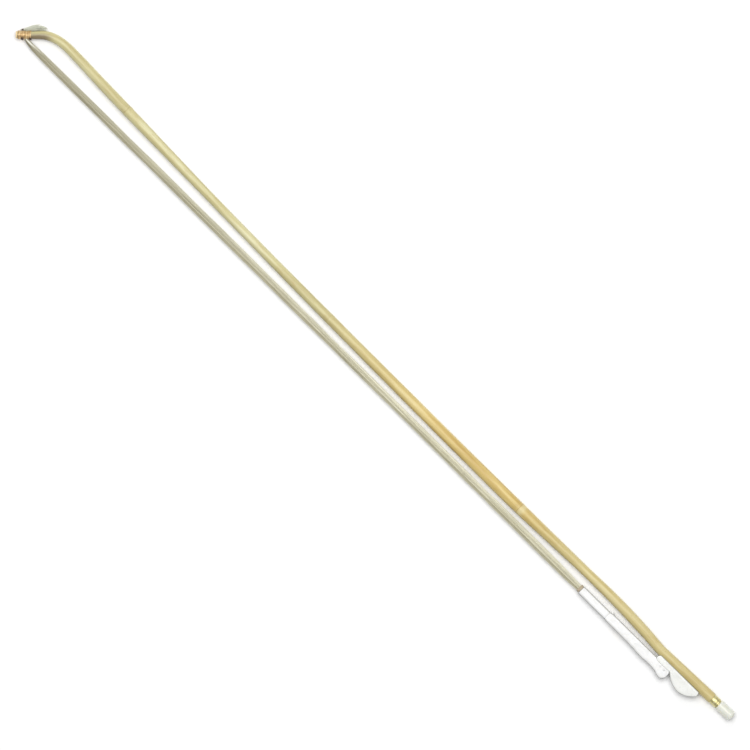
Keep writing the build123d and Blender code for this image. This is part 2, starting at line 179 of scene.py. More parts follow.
# ---------------------------------------------------------------- mesh helpers
def set_attribute(made, name, data):
    """Gives each point a number or a vector, under a name that a material can read."""
    data = np.asarray(data, np.float32)
    kind, field = ("FLOAT", "value") if data.ndim == 1 else ("FLOAT_VECTOR", "vector")
    old = made.data.attributes.get(name)
    if old is not None:
        made.data.attributes.remove(old)
    made.data.attributes.new(name, kind, "POINT").data.foreach_set(field, data.ravel())


def points_of(made):
    """An object's points in mm."""
    return np.array([vertex.co[:] for vertex in made.data.vertices]) / MM


def smooth(made, angle=None):
    """Smooth shading, with edges left sharp where faces meet at more than an angle in degrees."""
    made.data.shade_smooth()
    if angle is not None:
        made.data.set_sharp_from_angle(angle=math.radians(angle))


def new_object(name, points, faces, angle=None, **attributes):
    """Mesh object from points in mm. Attributes are one number or one vector for each point."""
    mesh = bpy.data.meshes.new(name)
    mesh.from_pydata((np.asarray(points, float) * MM).tolist(), [], faces)
    mesh.validate()
    made = bpy.data.objects.new(name, mesh)
    scene.collection.objects.link(made)
    for key, data in attributes.items():
        set_attribute(made, key, data)
    smooth(made, angle)
    return made


def weld(made, distance=1e-7):
    """Joins points that lie on each other and faces outward."""
    mesh = bmesh.new()
    mesh.from_mesh(made.data)
    bmesh.ops.remove_doubles(mesh, verts=mesh.verts, dist=distance)
    bmesh.ops.dissolve_degenerate(mesh, edges=mesh.edges, dist=distance)
    bmesh.ops.recalc_face_normals(mesh, faces=mesh.faces)
    mesh.to_mesh(made.data)
    mesh.free()


def ring_faces(rings, size, offset=0, caps=True):
    """Quads between rings of points that follow each other, with a face over each end."""
    faces = []
    last = offset + (rings - 1) * size
    for a in range(offset, last, size):
        for k in range(size):
            n = (k + 1) % size
            faces.append((a + k, a + n, a + size + n, a + size + k))
    if caps:
        faces.append(tuple(reversed(range(offset, offset + size))))
        faces.append(tuple(range(last, last + size)))
    return faces


def loft(name, rings, angle=None, caps=True, **attributes):
    """Skin over rings of points, an array of rings by points by 3."""
    rings = np.asarray(rings, float)
    count, size = rings.shape[:2]
    return new_object(name, rings.reshape(-1, 3), ring_faces(count, size, caps=caps), angle, **attributes)


def lathe(name, axes, profile, segments=96):
    """Profile of (along, radius) turned about an axis. It is closed where the radius is 0."""
    along, radius = np.repeat(np.asarray(profile, float), segments, axis=0).T
    angle = np.tile(circle(segments), len(profile))
    grain = np.stack([along, radius * np.cos(angle), radius * np.sin(angle)], axis=1)
    faces = ring_faces(len(profile), segments, caps=False)
    made = new_object(name, axes.about(along, radius, angle), faces, grain=grain)
    weld(made)
    smooth(made, 35)
    return made


def setback(distance, radius):
    """How far a rounded edge of a radius stands back, at a distance from its end."""
    share = 1 - min(max(distance, 0.0), radius) / radius
    return radius * (1 - math.sqrt(1 - share**2))


def rounded(before, corner, after, radius, steps):
    """Points of an arc that rounds a corner between two others, in 2-D."""
    corner = np.asarray(corner, float)
    a, b = unit(np.asarray(before, float) - corner), unit(np.asarray(after, float) - corner)
    half = math.acos(np.clip(a @ b, -1, 1)) / 2
    middle = corner + unit(a + b) * radius / math.sin(half)
    start = corner + a * radius / math.tan(half) - middle
    end = corner + b * radius / math.tan(half) - middle
    return [middle + unit(start * (1 - t) + end * t) * radius for t in np.linspace(0, 1, steps)]


def profile_of(corners, steps):
    """Profile through corners of (along, radius, rounding); a rounding of 0 keeps a corner sharp."""
    points = []
    for i, (*corner, rounding) in enumerate(corners):
        if rounding == 0:
            points.append(corner)
        else:
            points += rounded(corners[i - 1][:2], corner, corners[i + 1][:2], rounding, steps)
    return points


STRAND_SIDES = 4


def strands(name, paths, radii, taper=1.0, **per_strand):
    """Thin tubes along paths, an array of paths by points by 3. Numbers per strand become attributes."""
    paths = np.asarray(paths, float)
    count, length = paths.shape[:2]
    ahead = unit(np.gradient(paths, axis=1))
    side = np.cross(ahead, UP)
    upright = np.linalg.norm(side, axis=-1, keepdims=True) < 0.15
    side = unit(np.where(upright, np.cross(ahead, ACROSS), side))
    turn = (circle(STRAND_SIDES) + math.pi / 4)[:, None]
    ring = side[:, :, None] * np.cos(turn) + np.cross(side, ahead)[:, :, None] * np.sin(turn)
    size = np.asarray(radii, float)[:, None] * (np.ones(length) * taper)
    points = paths[:, :, None] + ring * size[:, :, None, None]
    faces = []
    for strand in range(count):
        faces += ring_faces(length, STRAND_SIDES, strand * length * STRAND_SIDES)
    run = np.stack([distances(path) for path in paths])
    attributes = {key: np.repeat(data, length * STRAND_SIDES) for key, data in per_strand.items()}
    return new_object(name, points.reshape(-1, 3), faces, run=np.repeat(run, STRAND_SIDES), **attributes)


def wires(name, paths, radius, sides=10):
    """One object made of round wires, each turned as little as possible along its path."""
    points, faces, runs, turns = [], [], [], []
    turn = circle(sides)
    for path in paths:
        faces += ring_faces(len(path), sides, len(points))
        ahead = unit(np.gradient(path, axis=0))
        side = np.cross(ahead[0], UP)
        if np.linalg.norm(side) < 0.1:
            side = np.cross(ahead[0], ACROSS)
        for point, forward in zip(path, ahead):
            side = unit(side - forward * (side @ forward))
            ring = side * np.cos(turn)[:, None] + np.cross(forward, side) * np.sin(turn)[:, None]
            points += list(point + radius * ring)
        runs.append(np.repeat(distances(path), sides))
        turns.append(np.tile(turn, len(path)))
    return new_object(name, points, faces, 60, run=np.concatenate(runs), around=np.concatenate(turns))


def combine(made, operation, *others):
    """Joins closed objects to one (UNION) or takes them out of it (DIFFERENCE), and removes them."""
    for other in others:
        modifier = made.modifiers.new(operation, "BOOLEAN")
        modifier.operation = operation
        modifier.solver = "EXACT"
        modifier.object = other
    bpy.context.view_layer.update()
    graph = bpy.context.evaluated_depsgraph_get()
    mesh = bpy.data.meshes.new_from_object(made.evaluated_get(graph))
    made.modifiers.clear()
    old = made.data
    made.data = mesh
    mesh.name = made.name
    bpy.data.meshes.remove(old)
    for other in others:
        bpy.data.objects.remove(other, do_unlink=True)


def block(axes, start, end, low, high, half):
    """Box in an axes frame, for cutting or joining."""
    points = [axes.at(x, y, z) for x in (start, end) for y in (low, high) for z in (-half, half)]
    faces = [(0, 1, 3, 2), (4, 6, 7, 5), (0, 4, 5, 1), (2, 3, 7, 6), (0, 2, 6, 4), (1, 5, 7, 3)]
    made = new_object("cutter", points, faces)
    weld(made)
    return made


def drill(axes, start, end, radius, segments=64):
    """Round bar along an axes frame, for cutting."""
    return lathe("cutter", axes, [(start, 0), (start, radius), (end, radius), (end, 0)], segments)


def join(name, objects):
    """One object from several, with the same attributes."""
    for made in bpy.context.view_layer.objects:
        made.select_set(made in objects)
    bpy.context.view_layer.objects.active = objects[0]
    bpy.ops.object.join()
    objects[0].name = objects[0].data.name = name
    return objects[0]


def set_painted_edge_shade(made, strength):
    """Painted shade on the rounded edges of a white part, clear of its flat faces."""
    upright = np.abs([vertex.normal[2] for vertex in made.data.vertices])
    set_attribute(made, "painted_edge_shade", strength * fade(upright, 0.06, 0.22) * fade(upright, 0.80, 0.58))


def finish_with(made, paint, body, slot, *nodes):
    """Gives a piece its material and its body, and hides the CAD nodes it stands for. The slot is not used."""
    made.data.materials.clear()
    made.data.materials.append(paint.material)
    if body is not None:
        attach(made, body)
    if nodes:
        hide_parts(*nodes)


# ---------------------------------------------------------------- material helpers
def srgb(colour):
    """Linear colour for an 8-bit display colour."""
    shares = [value / 255 for value in colour]
    return (*(s / 12.92 if s <= 0.04045 else ((s + 0.055) / 1.055) ** 2.4 for s in shares), 1.0)


class Paint:
    """A node material being built. A value may be a number or another node's output."""

    def __init__(self, name, **sockets):
        self.material = bpy.data.materials.new(name)
        self.material.use_nodes = True
        self.tree = self.material.node_tree
        self.shader = self.tree.nodes["Principled BSDF"]
        self.set(**sockets)

    def feed(self, socket, value):
        if hasattr(value, "is_linked"):
            self.tree.links.new(value, socket)
        else:
            socket.default_value = value

    def set(self, **sockets):
        """Feeds the shader's own sockets."""
        for key, value in sockets.items():
            self.feed(self.shader.inputs[key.replace("_", " ")], value)

    def add(self, kind, output, inputs, **settings):
        """Adds a node and returns one of its outputs."""
        made = self.tree.nodes.new(kind)
        for key, value in settings.items():
            setattr(made, key, value)
        for key, value in inputs.items():
            self.feed(made.inputs[key], value)
        return made.outputs[output]

    def vector(self, name):
        """A vector attribute of the mesh."""
        return self.add("ShaderNodeAttribute", "Vector", {}, attribute_name=name)

    def number(self, name):
        """A number attribute of the mesh."""
        return self.add("ShaderNodeAttribute", "Fac", {}, attribute_name=name)

    def place(self):
        """Place on the object, in metres."""
        return self.add("ShaderNodeTexCoord", "Object", {})

    def place_mm(self):
        """Place on the object, in mm."""
        return self.stretch(self.place(), (1000, 1000, 1000))

    def stretch(self, vector, scale, shift=(0.0, 0.0, 0.0)):
        return self.add("ShaderNodeMapping", "Vector", {"Scale": scale, "Location": shift, "Vector": vector})

    def noise(self, vector, detail=3.0, roughness=0.6, distortion=0.0):
        return self.add("ShaderNodeTexNoise", "Fac", {
            "Vector": vector, "Scale": 1.0, "Detail": detail, "Roughness": roughness, "Distortion": distortion,
        })

    def clouds(self, place, scale, detail=3.0, roughness=0.6, distortion=0.0, shift=(0.0, 0.0, 0.0)):
        """Noise with its own scale in each direction."""
        return self.noise(self.stretch(place, scale, shift), detail, roughness, distortion)

    def ramp(self, value, *stops):
        """Colour for a value, through stops of (value, 8-bit colour)."""
        made = self.tree.nodes.new("ShaderNodeValToRGB")
        elements = made.color_ramp.elements
        while len(elements) < len(stops):
            elements.new(0.5)
        for element, (position, colour) in zip(elements, stops):
            element.position = position
            element.color = srgb(colour)
        self.feed(made.inputs["Fac"], value)
        return made.outputs["Color"]

    def span(self, value, low, high, to_low=0.0, to_high=1.0):
        """Maps low to high onto two other numbers, and stops at them."""
        return self.add("ShaderNodeMapRange", "Result", {
            "Value": value, "From Min": low, "From Max": high, "To Min": to_low, "To Max": to_high,
        })

    def mix(self, share, base, colour):
        """Lays an 8-bit colour, or another node's, over a base by a share."""
        over = colour if hasattr(colour, "is_linked") else srgb(colour)
        return self.add("ShaderNodeMix", "Result", {"Factor": share, "A": base, "B": over}, data_type="RGBA")

    def stain(self, base, value, zero, full, share, colour):
        """Lays a colour over a base, from none of it where the value is low to a share where it is high."""
        return self.mix(self.span(value, zero, full, 0, share), base, colour)

    def maths(self, operation, a, b=0.5):
        return self.add("ShaderNodeMath", "Value", {0: a, 1: b}, operation=operation)

    def bump(self, height, distance, strength, over=None):
        """Surface relief of a distance in mm, on top of another relief where one is given."""
        inputs = {"Height": height, "Distance": distance * MM, "Strength": strength}
        return self.add("ShaderNodeBump", "Normal", inputs | ({} if over is None else {"Normal": over}))


# ---------------------------------------------------------------- shared materials
def plastic_paint(name, low, middle, high, roughness, coat, milk=0.12, depth=1.2):
    """Moulded plastic with faint clouding, hairline scratches, a slightly uneven gloss and painted shade on its
    rounded edges.
    """
    paint = Paint(
        name, Coat_Weight=coat, Coat_Roughness=0.12, Specular_IOR_Level=0.5, IOR=1.5,
        Subsurface_Weight=milk, Subsurface_Radius=(1.0, 0.9, 0.75), Subsurface_Scale=depth * MM,
    )
    place = paint.place()
    cloud = paint.clouds(place, (90, 160, 160), 4.0, 0.6, 0.6)
    scuff = paint.clouds(place, (60, 2600, 1800))
    base = paint.ramp(cloud, (0.28, low), (0.52, middle), (0.76, high))
    base = paint.stain(base, scuff, 0.66, 0.82, 0.35, low)
    mottle = paint.clouds(place, (420, 420, 420), 3.0, 0.5)
    soft = paint.bump(paint.clouds(place, (220, 260, 260), 2.0, 0.55), 0.12, 0.30)
    # The rounded edges are darkened with painted shade.
    paint.set(
        Base_Color=paint.mix(paint.number("painted_edge_shade"), base, (122, 121, 117)),
        Roughness=paint.span(mottle, 0.3, 0.7, roughness - 0.07, roughness + 0.10),
        Normal=paint.bump(scuff, 0.02, 0.5, soft),
    )
    return paint


def metal_paint(name, low, middle, high, roughness, turned):
    """Metal with fine lines, tarnish and worn edges. The lines go round the axis of a turned piece."""
    paint = Paint(name, Metallic=0.92, Specular_IOR_Level=0.5)
    place = paint.vector("grain") if turned else paint.place_mm()
    lines = paint.clouds(place, (9.0, 0.35, 0.35))
    tarnish = paint.clouds(place, (0.5, 0.5, 0.5), 4.0, 0.65)
    base = paint.ramp(tarnish, (0.28, low), (0.5, middle), (0.72, high))
    paint.set(
        Base_Color=paint.stain(base, lines, 0.55, 0.8, 0.35, low),
        Roughness=paint.span(lines, 0.3, 0.7, roughness - 0.08, roughness + 0.12),
        Normal=paint.bump(lines, 0.03, 0.6),
    )
    return paint


def hair_paint(name, low, middle, high, streak, dust):
    """Horsehair: each strand has its own shade, slow changes along it and dust near the tip."""
    paint = Paint(name, Roughness=0.46, Specular_IOR_Level=0.40, Sheen_Weight=0.25, Sheen_Roughness=0.4)
    shade, run = paint.number("shade"), paint.number("run")
    slow = paint.noise(paint.add("ShaderNodeCombineXYZ", "Vector", {
        "X": paint.maths("MULTIPLY", run, 0.018), "Y": paint.maths("MULTIPLY", shade, 40.0),
    }))
    base = paint.ramp(shade, (0.0, low), (0.45, middle), (0.85, high), (1.0, streak))
    base = paint.stain(base, slow, 0.52, 0.78, 0.5, low)
    base = paint.mix(paint.span(slow, 0.20, 0.44, 0.45, 0), base, high)
    base = paint.mix(paint.span(run, 20, 440, dust, 0.0), base, low)
    # A painted highlight and painted shadow where the hair leaves the tip.
    base = paint.mix(paint.number("painted_highlight_streak"), base, (252, 252, 246))
    paint.set(Base_Color=paint.mix(paint.number("painted_shadow_streak"), base, (92, 86, 68)))
    return paint


def thread_paint(name, low, high):
    """Twisted thread: a spiral of plies along each turn, with fluff in its shade."""
    paint = Paint(name, Roughness=0.72, Specular_IOR_Level=0.25, Sheen_Weight=0.3, Sheen_Roughness=0.5)
    twist = paint.maths("MULTIPLY", paint.number("run"), 9.0)
    lead = paint.maths("MULTIPLY", paint.number("around"), 2.0)
    ply = paint.maths("SINE", paint.maths("ADD", twist, lead))
    fluff = paint.clouds(paint.place(), (3000, 3000, 3000), 3.0, 0.7)
    shade = paint.maths("ADD", paint.span(ply, -1, 1, 0, 0.55), paint.span(fluff, 0.3, 0.7, 0, 0.45))
    paint.set(
        Base_Color=paint.ramp(shade, (0.15, low), (0.85, high)),
        Normal=paint.bump(shade, 0.06, 0.8),
    )
    return paint


def wood_paint():
    """Pale wood with growth rings and darker pores."""
    paint = Paint("pale_wood", Roughness=0.6, Specular_IOR_Level=0.3, Coat_Weight=0.08)
    place = paint.place_mm()
    growth = paint.add("ShaderNodeTexWave", "Fac", {
        "Vector": paint.stretch(place, (0.35, 1.0, 1.0), (0, 9.6, -5.0)),
        "Scale": 1.1, "Distortion": 3.0, "Detail": 3.0,
    }, wave_type="RINGS", rings_direction="X")
    base = paint.ramp(growth, (0.1, (206, 172, 112)), (0.6, (232, 208, 158)), (0.95, (242, 226, 188)))
    pores = paint.clouds(place, (2.0, 9.0, 9.0))
    paint.set(
        Base_Color=paint.stain(base, pores, 0.60, 0.74, 0.6, (140, 98, 52)),
        Normal=paint.bump(pores, 0.08, 0.7),
    )
    return paint


def wire_paint():
    """Brass-coloured wire: patina, marks of drawing, and turns that are duller or brighter."""
    paint = Paint("brass_wire", Metallic=0.60, Specular_IOR_Level=0.5)
    place = paint.place_mm()
    patina = paint.clouds(place, (0.55, 0.55, 0.55), 4.0, 0.65)
    drawn = paint.clouds(place, (7, 7, 7))
    worn = paint.number("turn_shade")
    base = paint.ramp(patina, (0.30, (190, 150, 96)), (0.52, (232, 202, 148)), (0.74, (250, 232, 190)))
    base = paint.stain(base, drawn, 0.56, 0.74, 0.45, (134, 92, 46))
    base = paint.stain(base, worn, 0.62, 1.0, 0.45, (134, 98, 56))
    paint.set(
        Base_Color=paint.mix(paint.span(worn, 0.0, 0.5, 0.35, 0), base, (246, 228, 190)),
        Roughness=paint.span(drawn, 0.3, 0.7, 0.26, 0.50),
        Normal=paint.bump(drawn, 0.03, 0.5),
    )
    return paint


def bamboo_paint():
    """Cane: golden in the middle and paler at both ends, with fibres, blotches and marks at its nodes."""
    paint = Paint("bamboo", Coat_Weight=0.22, Coat_Roughness=0.34, Specular_IOR_Level=0.36)
    place = paint.vector("grain")
    along = paint.add("ShaderNodeSeparateXYZ", "X", {"Vector": place})
    gold = paint.maths("MULTIPLY", paint.span(along, 350, 490), paint.span(along, 588, 640, 1.0, 0.42))
    pale = paint.ramp(
        paint.clouds(place, (0.012, 0.16, 0.16), 4.0),
        (0.30, (175, 162, 111)), (0.52, (198, 190, 139)), (0.74, (214, 210, 170)),
    )
    deep = paint.ramp(
        paint.clouds(place, (0.014, 0.18, 0.18), 4.0, shift=(40, 3, 9)),
        (0.30, (189, 159, 87)), (0.52, (211, 187, 118)), (0.74, (226, 207, 148)),
    )
    fibre = paint.clouds(place, (0.05, 5.2, 5.2), 4.0, 0.62)
    light = paint.clouds(place, (0.07, 6.4, 6.4), shift=(7, 70, 2))
    blotch = paint.clouds(place, (0.07, 0.32, 0.32), 3.0, 0.7, 0.4, (3, 1, 5))
    fleck = paint.clouds(place, (0.5, 3.4, 3.4), 2.0, 0.5, shift=(0, 9, 0))
    base = paint.mix(gold, pale, deep)
    base = paint.stain(base, fibre, 0.55, 0.78, 0.72, (140, 112, 62))
    base = paint.stain(base, light, 0.60, 0.82, 0.55, (222, 212, 176))
    base = paint.stain(base, blotch, 0.55, 0.78, 0.42, (172, 138, 78))
    base = paint.stain(base, fleck, 0.70, 0.76, 0.55, (120, 82, 40))
    base = paint.mix(paint.maths("MULTIPLY", paint.number("node_scar"), 0.45), base, (222, 212, 166))
    base = paint.mix(paint.maths("MULTIPLY", paint.number("node_line"), 0.30), base, (132, 98, 54))
    # The inner side of the tip is painted darker brown.
    tip_dark_share = paint.maths("MULTIPLY", paint.number("inner_tip_darkening"), paint.span(fibre, 0.2, 0.7, 0.88, 1.0))
    base = paint.mix(tip_dark_share, base, (112, 94, 76))
    pits = paint.clouds(place, (0.35, 2.2, 2.2))
    paint.set(
        Base_Color=paint.mix(paint.number("speck"), base, (84, 60, 36)),
        Roughness=paint.span(fibre, 0.3, 0.8, 0.34, 0.58),
        Normal=paint.bump(pits, 0.10, 0.5, paint.bump(fibre, 0.10, 0.55)),
    )
    return paint


def floor_paint():
    """A pale backdrop with a trace of unevenness."""
    paint = Paint("floor", Roughness=0.85, Specular_IOR_Level=0.1)
    cloud = paint.clouds(paint.place(), (1.5, 1.5, 1.5), 2.0, 0.5)
    paint.set(Base_Color=paint.ramp(cloud, (0.3, (246, 246, 246)), (0.7, (249, 249, 249))))
    return paint


white = plastic_paint("white_plastic", (212, 212, 210), (224, 224, 223), (230, 230, 229), 0.30, 0.35)
white_tail = plastic_paint(
    "white_plastic_tail", (210, 211, 206), (221, 222, 218), (228, 229, 225), 0.30, 0.35,
)
# The knob's plastic is milky, which evens out its shading.
ivory = plastic_paint("ivory_plastic", (207, 208, 194), (221, 222, 211), (228, 229, 220), 0.34, 0.30, 0.6, 4.0)
brass = metal_paint("brass", (172, 160, 100), (222, 213, 158), (240, 236, 198), 0.44, True)
plain_brass = metal_paint("plain_brass", (140, 100, 44), (196, 156, 80), (226, 192, 116), 0.36, False)
steel = metal_paint("steel", (120, 120, 122), (168, 168, 170), (200, 200, 202), 0.34, True)
horsehair = hair_paint("horsehair", (164, 158, 130), (212, 207, 178), (230, 227, 202), (246, 244, 230), 0.68)
tuft_hair = hair_paint(
    "tuft_horsehair", (180, 182, 162), (226, 228, 210), (240, 241, 230), (250, 250, 244), 0.30,
)
dark_thread = thread_paint("dark_thread", (38, 24, 16), (92, 62, 42))
tan_thread = thread_paint("tan_thread", (146, 126, 98), (214, 203, 178))
wood = wood_paint()


# ---------------------------------------------------------------- bamboo stick
# Stations of the cane: place along the bow, place across it, radius.
CANE_STATIONS = [
    (-389.1, 10.55, 3.80), (-380.0, 11.80, 3.88), (-368.0, 11.65, 4.05), (-338.4, 10.49, 4.35),
    (-304.6, 9.40, 4.45), (-253.9, 7.97, 4.10), (-203.2, 6.65, 3.75), (-135.0, 5.32, 3.90),
    (-60.0, 4.36, 4.25), (25.0, 3.62, 4.60), (110.0, 3.20, 4.90), (166.9, 3.30, 4.95),
    (205.0, 3.92, 4.45), (240.0, 4.58, 4.00), (272.0, 4.85, 4.30), (290.0, 4.60, 4.48),
    (303.8, 4.00, 4.48), (318.0, 3.25, 4.35), (328.5, 2.42, 4.28),
]
CANE_SIDES = 56
# The tip is straight for a stretch. Its radii are those at the cut end, at the thin stretch's end
# and at the straight stretch's end.
TIP_THIN, TIP_STRAIGHT = 16.0, 25.0
TIP_RADII = (3.15, 3.35, 3.75)
TIP_STATIONS = (3.0, 6.0, 9.0, 12.0, 14.5)
PLUG_HEAD, PLUG_END, PITH_RADIUS = 1.3, 5.6, 1.2
HOLE_AT, HOLE_RADIUS = 9.0, 1.85
TAIL_LENGTH, TAIL_RADII = 58.0, (4.25, 4.65)
TENON_LENGTH, TENON_RADIUS = 6.0, 3.2
SCREW_START, SCREW_BORE = -46.0, 2.0
# The distances between rings near the tip, along the cane and at a node.
TIP_STEP, CANE_STEP, NODE_STEP = 0.7, 1.3, 0.16
# For each station with a node: the height of its ridge, how dark its line is, how pale its patch is.
NODES = {4: (0.22, 0.95, 0.10), 8: (0.20, 0.30, 0.05), 11: (0.15, 1.0, 1.3)}


def cane_line():
    """The cane's centre, radius and distance along it at close steps, and the distance of each node."""
    knots = [tip.at(TIP_THIN), tip.at(TIP_STRAIGHT), *((x, y, PLANE_Z) for x, y, _ in CANE_STATIONS)]
    knots = np.array(knots + [tail.at(-TAIL_LENGTH)])
    radii = [*TIP_RADII[1:], *(radius for _, _, radius in CANE_STATIONS), TAIL_RADII[0]]
    place = TIP_THIN + distances(knots)
    nodes = {station: place[station + 2] for station in NODES}
    fine = [np.arange(TIP_THIN, 70, TIP_STEP), np.arange(70, place[-1], CANE_STEP), [place[-1]]]
    fine += [np.arange(at - 4, at + 4, NODE_STEP) for at in nodes.values()]
    fine = np.unique(np.round(np.concatenate(fine), 3))
    start = np.array([PLUG_HEAD, *TIP_STATIONS])
    end = np.linspace(2, TAIL_LENGTH, 30)
    bend = smooth_through(place, knots, fine, (tip.x, tail.x))
    centre = np.concatenate([tip.at(start), bend, tail.at(end - TAIL_LENGTH)])
    radius = np.concatenate([
        np.full(len(start), TIP_RADII[0]), smooth_through(place, radii, fine), tail_radius(end - TAIL_LENGTH),
    ])
    return centre, radius, np.concatenate([start, fine, place[-1] + end]), nodes


def tail_radius(along, lead=0.0):
    """The cane's radius along its straight tail, which ends at 0. It may begin to widen earlier."""
    share = (along + TAIL_LENGTH + lead) / (TAIL_LENGTH + lead)
    return TAIL_RADII[0] + (TAIL_RADII[1] - TAIL_RADII[0]) * share


cane_centre, cane_radius, cane_along, cane_nodes = cane_line()
cane_ahead = unit(np.gradient(cane_centre, cane_along, axis=0))
cane_side = np.cross(UP, cane_ahead)


def cane_rings():
    """The cane's surface: ridges at the nodes, slow waves, and a section that is oval with faint flats."""
    turn = circle(CANE_SIDES)
    along = cane_along[:, None]
    waves = 0.030 * np.sin(cane_along / 17.0) + 0.022 * np.sin(cane_along / 7.3 + 1.0)
    bend_marks = 0.035 * np.sin(cane_along * FULL_TURN / 3.1) * bell(cane_along - 40, 9)
    free = fade(cane_along, 18, 30) * fade(cane_along, cane_along[-1] - 66, cane_along[-1] - 86)
    size = cane_radius + (waves + bend_marks) * free
    for station, at in cane_nodes.items():
        away = cane_along - at
        size += NODES[station][0] * bell(away - 0.4, 1.5) + 0.06 * bell(away + 2.1, 0.6)
        size -= 0.07 * bell(away + 1.35, 0.34)
    oval = 0.028 * np.cos(2 * turn + along / 60.0)
    flats = 0.012 * np.cos(7 * turn + 0.8 * np.sin(along / 40.0))
    radial = size[:, None] + (oval + flats) * free[:, None]
    spokes = cane_side[:, None] * np.cos(turn)[:, None] + UP * np.sin(turn)[:, None]
    rings = cane_centre[:, None] + spokes * radial[:, :, None]
    # The tail ends in a rounded shoulder and a thinner tenon inside the brass ferrule.
    shoulder = [(-0.12, 4.62), (0.0, 4.5), (0.0, TENON_RADIUS)]
    tenon = [(TENON_LENGTH - 0.2, TENON_RADIUS), (TENON_LENGTH, 3.0)]
    return np.concatenate([rings[:-1], [tail.about(x, radius, turn) for x, radius in shoulder + tenon]])


def cane_grain(points):
    """Distance of each point along the cane, and its two distances across it."""
    out = np.empty((len(points), 3))
    for first in range(0, len(points), 4000):
        some = points[first : first + 4000]
        near = ((some[:, None, :2] - cane_centre[None, :, :2]) ** 2).sum(axis=2).argmin(axis=1)
        offset = some - cane_centre[near]
        along = cane_along[near] + (offset * cane_ahead[near]).sum(axis=1)
        across = (offset * cane_side[near]).sum(axis=1)
        out[first : first + 4000] = np.stack([along, across, offset[:, 2]], axis=1)
    return out


def set_cane_marks(made):
    """Attributes for the cane's grain, its nodes, a speck beside the hair and the darker inner side of the tip.
    """
    grain = cane_grain(points_of(made))
    along, across, up = grain.T
    lines, scar = np.zeros(len(grain)), np.zeros(len(grain))
    for station, at in cane_nodes.items():
        _, line, patch = NODES[station]
        lines += line * bell(along - at + 1.35, 0.45) + 0.35 * line * bell(along - at + 4.2, 1.9)
        scar += patch * bell(along - at - 1.6, 2.6)
    set_attribute(made, "grain", grain)
    set_attribute(made, "node_line", lines)
    set_attribute(made, "node_scar", scar)
    set_attribute(made, "speck", 0.45 * bell(np.hypot((along - 18.6) / 5.5, across + 0.7), 0.50) * (up > 0))
    # The inner side of the tip is painted darker brown, fading out towards the bend.
    inner_side = fade(across, 1.9, -0.9)
    set_attribute(made, "inner_tip_darkening", 0.84 * inner_side**0.8 * ease(fade(along, 36.0, 24.0)))


hole = Axes(tip.at(HOLE_AT), tip.y)
cane = loft("bamboo_stick", cane_rings())
weld(cane)
combine(
    cane, "DIFFERENCE",
    drill(tail, SCREW_START, TENON_LENGTH + 1, SCREW_BORE),
    block(tail, -33.0, -17.99, -10, 2.7, 2.3),
    drill(tip, PLUG_HEAD - 1, PLUG_END, PITH_RADIUS),
    drill(hole, -5, 5, HOLE_RADIUS),
)
weld(cane, 1e-6)
set_cane_marks(cane)
smooth(cane, 38)
finish_with(cane, bamboo_paint(), "stick", "bamboo", "bamboo_stick")


# ---------------------------------------------------------------- tip plug and wire whipping
plug_head = profile_of([(0.0, 0.0, 0), (0.0, 3.15, 0.42), (PLUG_HEAD, 3.15, 0.06), (PLUG_HEAD, 1.15, 0)], 6)
plug_profile = [(0.10, 0.0), (0.08, 1.2), (0.03, 2.1), *plug_head[1:], (5.35, 1.15), (5.55, 0.95), (5.55, 0.0)]
plug = lathe("tip_end_plug", tip, plug_profile, 72)
finish_with(plug, wood, "stick", "pale_wood", "tip_end_plug")

WHIP_START, WHIP_END, WHIP_SEAT, WIRE, WHIP_TURNS = 1.6, 13.4, 3.18, 0.56, 21


def make_whipping():
    """Wire wound round the tip, opened where the hair goes through."""
    angle = np.arange(0, WHIP_TURNS * FULL_TURN, FULL_TURN / 40)
    along = WHIP_START + WIRE / 2 + (WHIP_END - WHIP_START - WIRE) * angle / angle[-1]
    lay = WIRE / 2 + 0.015 * np.sin(angle * 0.37) + 0.012 * np.sin(angle * 1.13)
    made = wires("tip_whipping", [tip.about(along, WHIP_SEAT + lay, angle)], WIRE / 2 - 0.004)
    combine(made, "DIFFERENCE", drill(hole, -5.5, 5.5, HOLE_RADIUS - 0.02))
    along = (points_of(made) - tip.o) @ tip.x
    set_attribute(made, "turn_shade", 0.5 + 0.5 * np.sin(along * 3.3 + 1.2 * np.sin(along * 1.1)))
    smooth(made, 60)
    return made


finish_with(make_whipping(), wire_paint(), "stick", "brass_wire", "tip_whipping")


# ---------------------------------------------------------------- horsehair
HAIR_COUNT, HAIR_LOCKS = 400, 19
# Stations of the band: place along the bow, place across it, half its width, half its height.
HAIR_STATIONS = np.array([
    (-398.5, -8.40, 2.75, 2.45), (-388.0, -8.42, 3.15, 2.80), (-360.0, -8.45, 3.40, 2.90),
    (-300.0, -8.52, 3.55, 2.90), (-80.0, -8.66, 3.60, 2.90), (140.0, -8.80, 3.60, 2.90),
    (236.0, -8.87, 3.50, 2.85), (244.0, HAIR_Y, 3.20, 2.80), (248.4, HAIR_Y, 2.90, 2.70),
    (251.5, HAIR_Y, 2.66, 2.60), (254.0, HAIR_Y, 2.32, 2.32), (262.0, HAIR_Y, 2.30, 2.30),
])
# The band bends here as it leaves the tip. The streaks follow a slightly straighter line.
HAIR_BEND = [(-406.2, -7.8414, 2.05, 1.95), (-402.6, -8.1654, 2.38, 2.2)]
STREAK_BEND = [(-406.2, -7.55), (-402.6, -8.02)]


def disc(count):
    """Evenly spread random places in a disc of radius 1."""
    radius = rng.random(count) ** 0.5
    angle = rng.random(count) * FULL_TURN
    return radius * np.cos(angle), radius * np.sin(angle)


